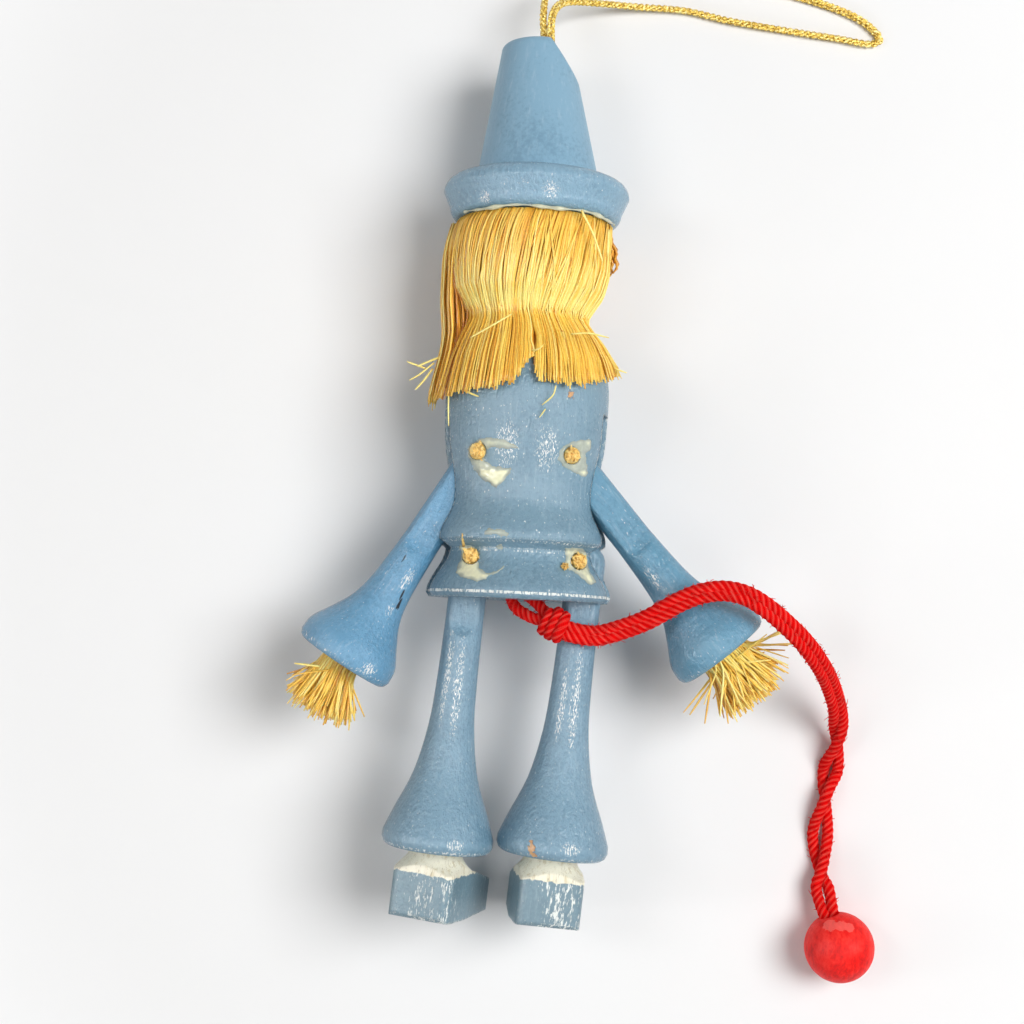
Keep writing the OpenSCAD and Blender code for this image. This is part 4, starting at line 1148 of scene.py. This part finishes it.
def surface_below(node):
    """A function that gives the height of a node's skin under a place seen from above, in millimetres."""
    obj = nodes[node]
    tree = BVHTree.FromPolygons([v.co for v in obj.data.vertices], [p.vertices for p in obj.data.polygons])

    def height(x, y):
        hit = tree.ray_cast(Vector((x * MM, y * MM, 0.2)), Vector((0, 0, -1)))[0]
        return None if hit is None else hit[2] / MM

    return height


# The thin bead of glue under the brim: its radius round the doll's axis, and how far down it is
BEAD_AT = (13.75, 6.35)

# The coat's skin is never lower than this over its axis where a smear lies, or the place is inside the slot
SKIN_LEAST = 5

# Grid of a smear, how far it reaches past the outline, how fast it rises from its edge and gets milky, and how deep
# its underside is in the coat
SMEAR_STEP, SMEAR_MARGIN = 0.14, 0.4
SMEAR_RISE, SMEAR_MILK, SMEAR_SUNK = 0.45, 0.7, 0.08

# Smears of glue: outlines of (across, down) in the doll's frame, each with its height and how milky it is
GLUE_SMEARS = {
    "left_arm_glue": [
        ([
            (-8.8, 45.4), (-7.4, 44.6), (-5.4, 44.6), (-3.8, 44.8), (-2.5, 45.3), (-0.7, 46.2), (-2.3, 46.5),
            (-4.1, 46.4), (-5.7, 46.3), (-6.5, 47.1), (-6.3, 48.3), (-5.2, 49.1), (-3.4, 49.4), (-2.1, 49.4),
            (-2.2, 50.5), (-3.3, 51.7), (-4.3, 52.9), (-5.6, 52.1), (-7.1, 51.2), (-8.1, 50.0), (-8.7, 48.7),
            (-9.5, 47.6), (-9.5, 46.3),
        ], 0.5, 0.35),
        ([
            (-7.8, 49.3), (-5.5, 49.5), (-2.3, 49.5), (-2.4, 50.5), (-3.4, 51.7), (-4.3, 52.8), (-5.8, 51.8),
            (-7.3, 50.9),
        ], 0.6, 0.9),
    ],
    "right_arm_glue": [
        ([
            (5.3, 47.6), (5.6, 46.0), (6.6, 45.0), (8.0, 44.3), (9.3, 43.9), (10.7, 43.6), (11.1, 44.4),
            (10.8, 45.5), (10.2, 46.2), (10.5, 47.8), (10.8, 49.1), (10.4, 49.9), (9.6, 50.0), (7.8, 49.4),
            (6.2, 48.7),
        ], 0.4, 0.2),
        ([
            (9.5, 44.0), (10.9, 43.8), (11.0, 44.4), (10.8, 45.3), (10.0, 45.3),
        ], 0.5, 0.5),
        ([
            (8.4, 49.0), (10.2, 48.5), (10.8, 49.3), (10.2, 49.9), (8.9, 49.8),
        ], 0.5, 0.8),
    ],
    "left_leg_glue": [
        ([
            (-10.2, 61.8), (-9.5, 62.2), (-8.2, 62.1), (-7.0, 62.7), (-6.5, 63.5), (-6.6, 64.8), (-6.4, 65.9),
            (-5.2, 66.7), (-4.8, 67.1), (-5.3, 67.9), (-6.6, 68.3), (-8.2, 67.9), (-9.5, 67.6), (-10.4, 66.8),
            (-10.3, 66.1), (-9.9, 64.7), (-9.7, 63.7), (-10.2, 62.7),
        ], 0.6, 0.6),
        ([
            (-5.4, 66.7), (-3.8, 66.4), (-2.5, 65.2), (-2.3, 65.5), (-3.4, 66.7), (-5.0, 67.4),
        ], 0.35, 0.2),
    ],
    "right_leg_glue": [
        ([
            (7.2, 62.0), (8.4, 61.7), (10.5, 61.9), (11.3, 62.6), (11.3, 64.0), (11.7, 65.3), (12.6, 66.5),
            (12.8, 67.2), (12.1, 67.9), (11.0, 67.5), (9.4, 66.2), (8.0, 65.6), (7.0, 65.0), (7.4, 63.8),
        ], 0.5, 0.45),
        ([
            (10.5, 65.8), (11.5, 65.6), (12.5, 66.7), (12.6, 67.4), (11.9, 67.7), (11.0, 67.3),
        ], 0.5, 0.9),
    ],
    "waist_glue": [
        ([
            (-6.1, 59.9), (-5.2, 59.4), (-3.9, 59.5), (-2.6, 59.6), (-2.0, 60.2), (-2.2, 60.9), (-3.4, 60.7),
            (-5.0, 60.5), (-6.1, 60.6),
        ], 0.3, 0.25),
        ([
            (-4.2, 62.1), (-3.0, 61.8), (-2.8, 62.8), (-3.8, 62.9),
        ], 0.3, 0.15),
    ],
}


def edge_distance(points, outline):
    """How far each point lies inside a closed outline; below nought outside it."""
    a = np.array(outline)
    b = np.roll(a, -1, axis=0)
    way = b - a
    rest = points[:, None] - a
    t = np.clip((rest * way).sum(-1) / (way**2).sum(-1), 0, 1)
    far = np.linalg.norm(rest - t[..., None] * way, axis=-1).min(1)
    over = (a[:, 1] > points[:, None, 1]) != (b[:, 1] > points[:, None, 1])
    rise = np.where(way[:, 1] == 0, 1e-9, way[:, 1])
    left = points[:, None, 0] < a[:, 0] + (points[:, None, 1] - a[:, 1]) / rise * way[:, 0]
    return np.where((over & left).sum(1) % 2 == 1, far, -far)


def make_smear(name, outlines, height_at):
    """A low ragged smear of glue over the coat, thin at its edge and milky where it is thick."""
    corners = np.vstack([outline for outline, _, _ in outlines])
    x0, z0 = corners.min(0) - SMEAR_MARGIN
    columns, rows = (np.ceil((corners.max(0) + SMEAR_MARGIN - (x0, z0)) / SMEAR_STEP)).astype(int)
    grid = np.array([(x0 + i * SMEAR_STEP, z0 + j * SMEAR_STEP) for i in range(columns) for j in range(rows)])
    wobble = 0.12 * np.sin(3.1 * grid[:, 0] + 2 * grid[:, 1]) * np.sin(2.7 * grid[:, 1] - grid[:, 0])
    tall, milk = np.zeros(len(grid)), np.zeros(len(grid))
    for outline, height, milky in outlines:
        inside = np.maximum(0, edge_distance(grid, outline) + wobble)
        tall = np.maximum(tall, height * (1 - np.exp(-inside / SMEAR_RISE)))
        milk = np.maximum(milk, milky * np.minimum(1, inside / SMEAR_MILK))
    top, low, index = [], [], {}
    for k, (x, z) in enumerate(grid):
        place = doll(x, 0, z)
        skin = height_at(place[0], place[1]) if tall[k] > 0 else None
        if skin is not None and skin > AXIS[2] + SKIN_LEAST:
            index[k // rows, k % rows] = len(top)
            top.append((place[0], place[1], skin + tall[k], milk[k]))
            low.append((place[0], place[1], skin - SMEAR_SUNK, milk[k]))
    n = len(top)
    faces, edges = [], {}
    for i, j in index:
        quad = [index.get(k) for k in ((i, j), (i + 1, j), (i + 1, j + 1), (i, j + 1))]
        if None in quad:
            continue
        faces.append(tuple(reversed(quad)))
        faces.append(tuple(c + n for c in quad))
        for p, q in zip(quad, quad[1:] + quad[:1]):
            edges[p, q] = True
    faces += [(p, q, q + n, p + n) for p, q in edges if (q, p) not in edges]
    rows_in = np.array(top + low)
    smear = new_piece(name, rows_in[:, :3], faces, "doll", "hot_glue")
    set_values(smear, "thick", rows_in[:, 3])
    return smear


def make_glue():
    """The smears at the pegs and the thin bead under the brim."""
    height_at = surface_below("coat_body")
    smears = [make_smear(name, outlines, height_at) for name, outlines in GLUE_SMEARS.items()]
    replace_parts(smears[0], "peg_glue")
    angles = np.radians(np.linspace(-60, 76, 240))
    thick = 0.25 + 0.09 * np.sin(angles * 9) + 0.08 * np.sin(angles * 23 + 1)
    radius, low = BEAD_AT
    path = np.array([doll(radius * math.sin(a), radius * math.cos(a), low + 0.15 * math.sin(7 * a)) for a in angles])
    sides = 10
    ring = section(*carried(path), sides)[1]
    verts = (path[:, None, :] + thick[:, None, None] * ring).reshape(-1, 3)
    bead = new_piece("brim_glue_bead", verts, ring_faces(len(path), sides), "doll", "hot_glue")
    set_values(bead, "thick", np.repeat(0.2 + 0.9 * (thick - 0.2), sides))
    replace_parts(bead, "hat_glue")


# A second, thinner peg broken off in the right leg's glue, and a splinter of the left leg's: across and down
STUB_AT = (7.4, 65.0)
STUB_FIBRES, STUB_R = 18, 0.6
SPLINTER = ((-9.3, 62.4), (-9.6, 60.4))

# Pegs with broken ends, the fibres on each, and the radius that those fill
PEGS = ("left_arm_peg", "right_arm_peg", "left_leg_peg", "right_leg_peg")
PEG_FIBRES, PEG_R = 26, 1.15


def make_splinters():
    """Broken fibres on the end of each peg, the stub of another peg and a splinter beside one."""
    height_at = surface_below("coat_body")
    low, high = (doll(a, 0, down) for a, down in SPLINTER)
    stub = doll(STUB_AT[0], 0, STUB_AT[1])
    stub[2] = height_at(stub[0], stub[1])
    broken = Fibres()
    for i in range(STUB_FIBRES):
        out, turn = math.sqrt((i + 0.5) / STUB_FIBRES) * STUB_R, GOLDEN_TURN * i
        foot = stub + [out * math.cos(turn), out * math.sin(turn), -0.3]
        broken.add([foot, foot + [0, 0, 0.8], foot + [0, 0, chance.uniform(1.1, 1.5)]], 0.2, [1, 0, 0], 0.4)
    low[2] = height_at(low[0], low[1]) + 0.3
    high[2] = height_at(high[0], high[1]) + 0.6
    broken.add([low, (low + high) / 2, high], 0.3, [0, 0, 1], 0.8, tip=0.2)
    broken.piece("broken_peg_bits", "doll", "bare_wood")
    for node in PEGS:
        low, high = (np.array(v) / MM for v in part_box(node))
        middle = (low + high) / 2
        tuft = Fibres()
        for i in range(PEG_FIBRES):
            out, turn = math.sqrt((i + 0.5) / PEG_FIBRES) * PEG_R, GOLDEN_TURN * i
            start = np.array([middle[0] + out * math.cos(turn), middle[1] + out * math.sin(turn), high[2] - 0.7])
            lean = chance.normal(0, 0.35, 2)
            tall = chance.uniform(0.5, 1.5)
            bend = start + [lean[0] * 0.5, lean[1] * 0.5, tall * 0.6]
            tip = start + [lean[0], lean[1], tall]
            width = chance.uniform(0.16, 0.32)
            tuft.add([start, bend, tip], width, [1, 0, 0], chance.uniform(0.2, 0.9))
        tuft.piece(node + "_splinters", "doll", "bare_wood")


# CAD pieces


NODE_MATERIALS = {
    "hat_crown": "crown", "hat_brim": "brim", "coat_body": "coat", "head": "face", "nose": "nose",
    "neck_dowel": "bare_wood", "pull_ball": "ball", **dict.fromkeys(PEGS, "bare_wood"),
    **{node: node for node in (*LIMBS, "left_foot", "right_foot")},
}


def paint_nodes():
    """Gives each CAD node that is shown its finish."""
    for node, material in NODE_MATERIALS.items():
        data = nodes[node].data
        data.materials.clear()
        data.materials.append(MATERIALS[material])


# Light


def area_light(name, at, aim, size, power, diffuse=True, glossy=True):
    """A soft light at a place, turned to another, in millimetres, that lights the piece, shines in it or both."""
    data = bpy.data.lights.new(name, "AREA")
    data.shape = "RECTANGLE"
    data.size, data.size_y = size[0] * MM, size[1] * MM
    data.energy = power
    light = bpy.data.objects.new(name, data)
    bpy.context.scene.collection.objects.link(light)
    light.location = Vector(at) * MM
    light.rotation_euler = (Vector(aim) - Vector(at)).to_track_quat("-Z", "Y").to_euler()
    light.visible_diffuse, light.visible_glossy = diffuse, glossy


def background_seen(g):
    """1 where a ray sees the background, not where the background lights the doll."""
    rays = g.add("LightPath").outputs
    seen = g.math("MAXIMUM", rays["Is Camera Ray"], rays["Is Glossy Ray"])
    return g.math("MAXIMUM", seen, rays["Is Transmission Ray"])


BLACK, WHITE = (0, 0, 0, 1), (1, 1, 1, 1)

# The table: its size in metres, its own white, and its fade to plain white far from the doll, which is an oval
TABLE_SIZE = 4.0
TABLE_WHITE = (0.86, 0.86, 0.86, 1)
FADE_SCALE = (12.5, 9.5, 0.0)
FADE_FROM, FADE_TO = 1.1, 1.9

# The room's own light on the doll
ROOM_WHITE = (1.0, 0.985, 0.965, 1)
ROOM_LIGHT = 0.17


def make_stage():
    """A white table and soft light from the right, with narrow lights that draw the highlights."""
    bpy.ops.mesh.primitive_plane_add(size=TABLE_SIZE, location=(0, 0, -0.00002))
    floor = bpy.context.object
    floor.name = "white_table"
    material, g, shader = new_material("white_table")
    away = g.vector("LENGTH", g.stretched(g.seen(), FADE_SCALE))
    far = g.math("MULTIPLY", g.step(away, FADE_FROM, FADE_TO), background_seen(g))
    g.fill(shader, {"Base Color": g.mix(far, TABLE_WHITE, BLACK), "Roughness": 0.9, "Specular IOR Level": 0.1})
    g.fill(shader, {"Emission Color": g.mix(far, BLACK, WHITE), "Emission Strength": 1.0})
    floor.data.materials.append(material)
    area_light("window_light", (440, 80, 700), (0, -10, 10), (420, 480), 6.35, glossy=False)
    area_light("left_skylight", (-320, 60, 500), (0, 10, 10), (110, 200), 0.45, glossy=False)
    area_light("right_card", (400, 45, 440), (0, 0, 10), (150, 150), 2.0, diffuse=False)
    area_light("left_card", (-350, 45, 480), (0, 0, 10), (150, 150), 2.0, diffuse=False)
    area_light("foot_card", (20, -180, 520), (0, -60, 10), (60, 160), 0.8, diffuse=False)
    area_light("left_lamp", (-460, -110, 210), (0, -40, 10), (70, 220), 0.3, glossy=False)
    area_light("left_strip", (-460, -130, 210), (0, -60, 10), (60, 220), 1.1, diffuse=False)
    area_light("foot_window", (-40, -500, 330), (0, -10, 15), (260, 110), 0.45)
    world = bpy.data.worlds.new("soft_room")
    bpy.context.scene.world = world
    world.use_nodes = True
    g = Graph(world.node_tree)
    seen = background_seen(g)
    strength = g.math("MULTIPLY_ADD", seen, 1 - ROOM_LIGHT, ROOM_LIGHT)
    g.fill(world.node_tree.nodes["Background"], {"Color": g.mix(seen, ROOM_WHITE, WHITE), "Strength": strength})


place_camera()
make_pull_cord()
make_hanging_loop()
make_slot_strings()
paint_nodes()
make_back_hair()
make_side_lock()
make_fringe()
make_hand("left_arm", 3.2, 8, 18, 460, 6.5)
make_hand("right_arm", 4.2, 0, 7, 440, 12)
make_glue()
make_splinters()
make_stage()
bpy.context.scene.view_settings.view_transform = "Standard"
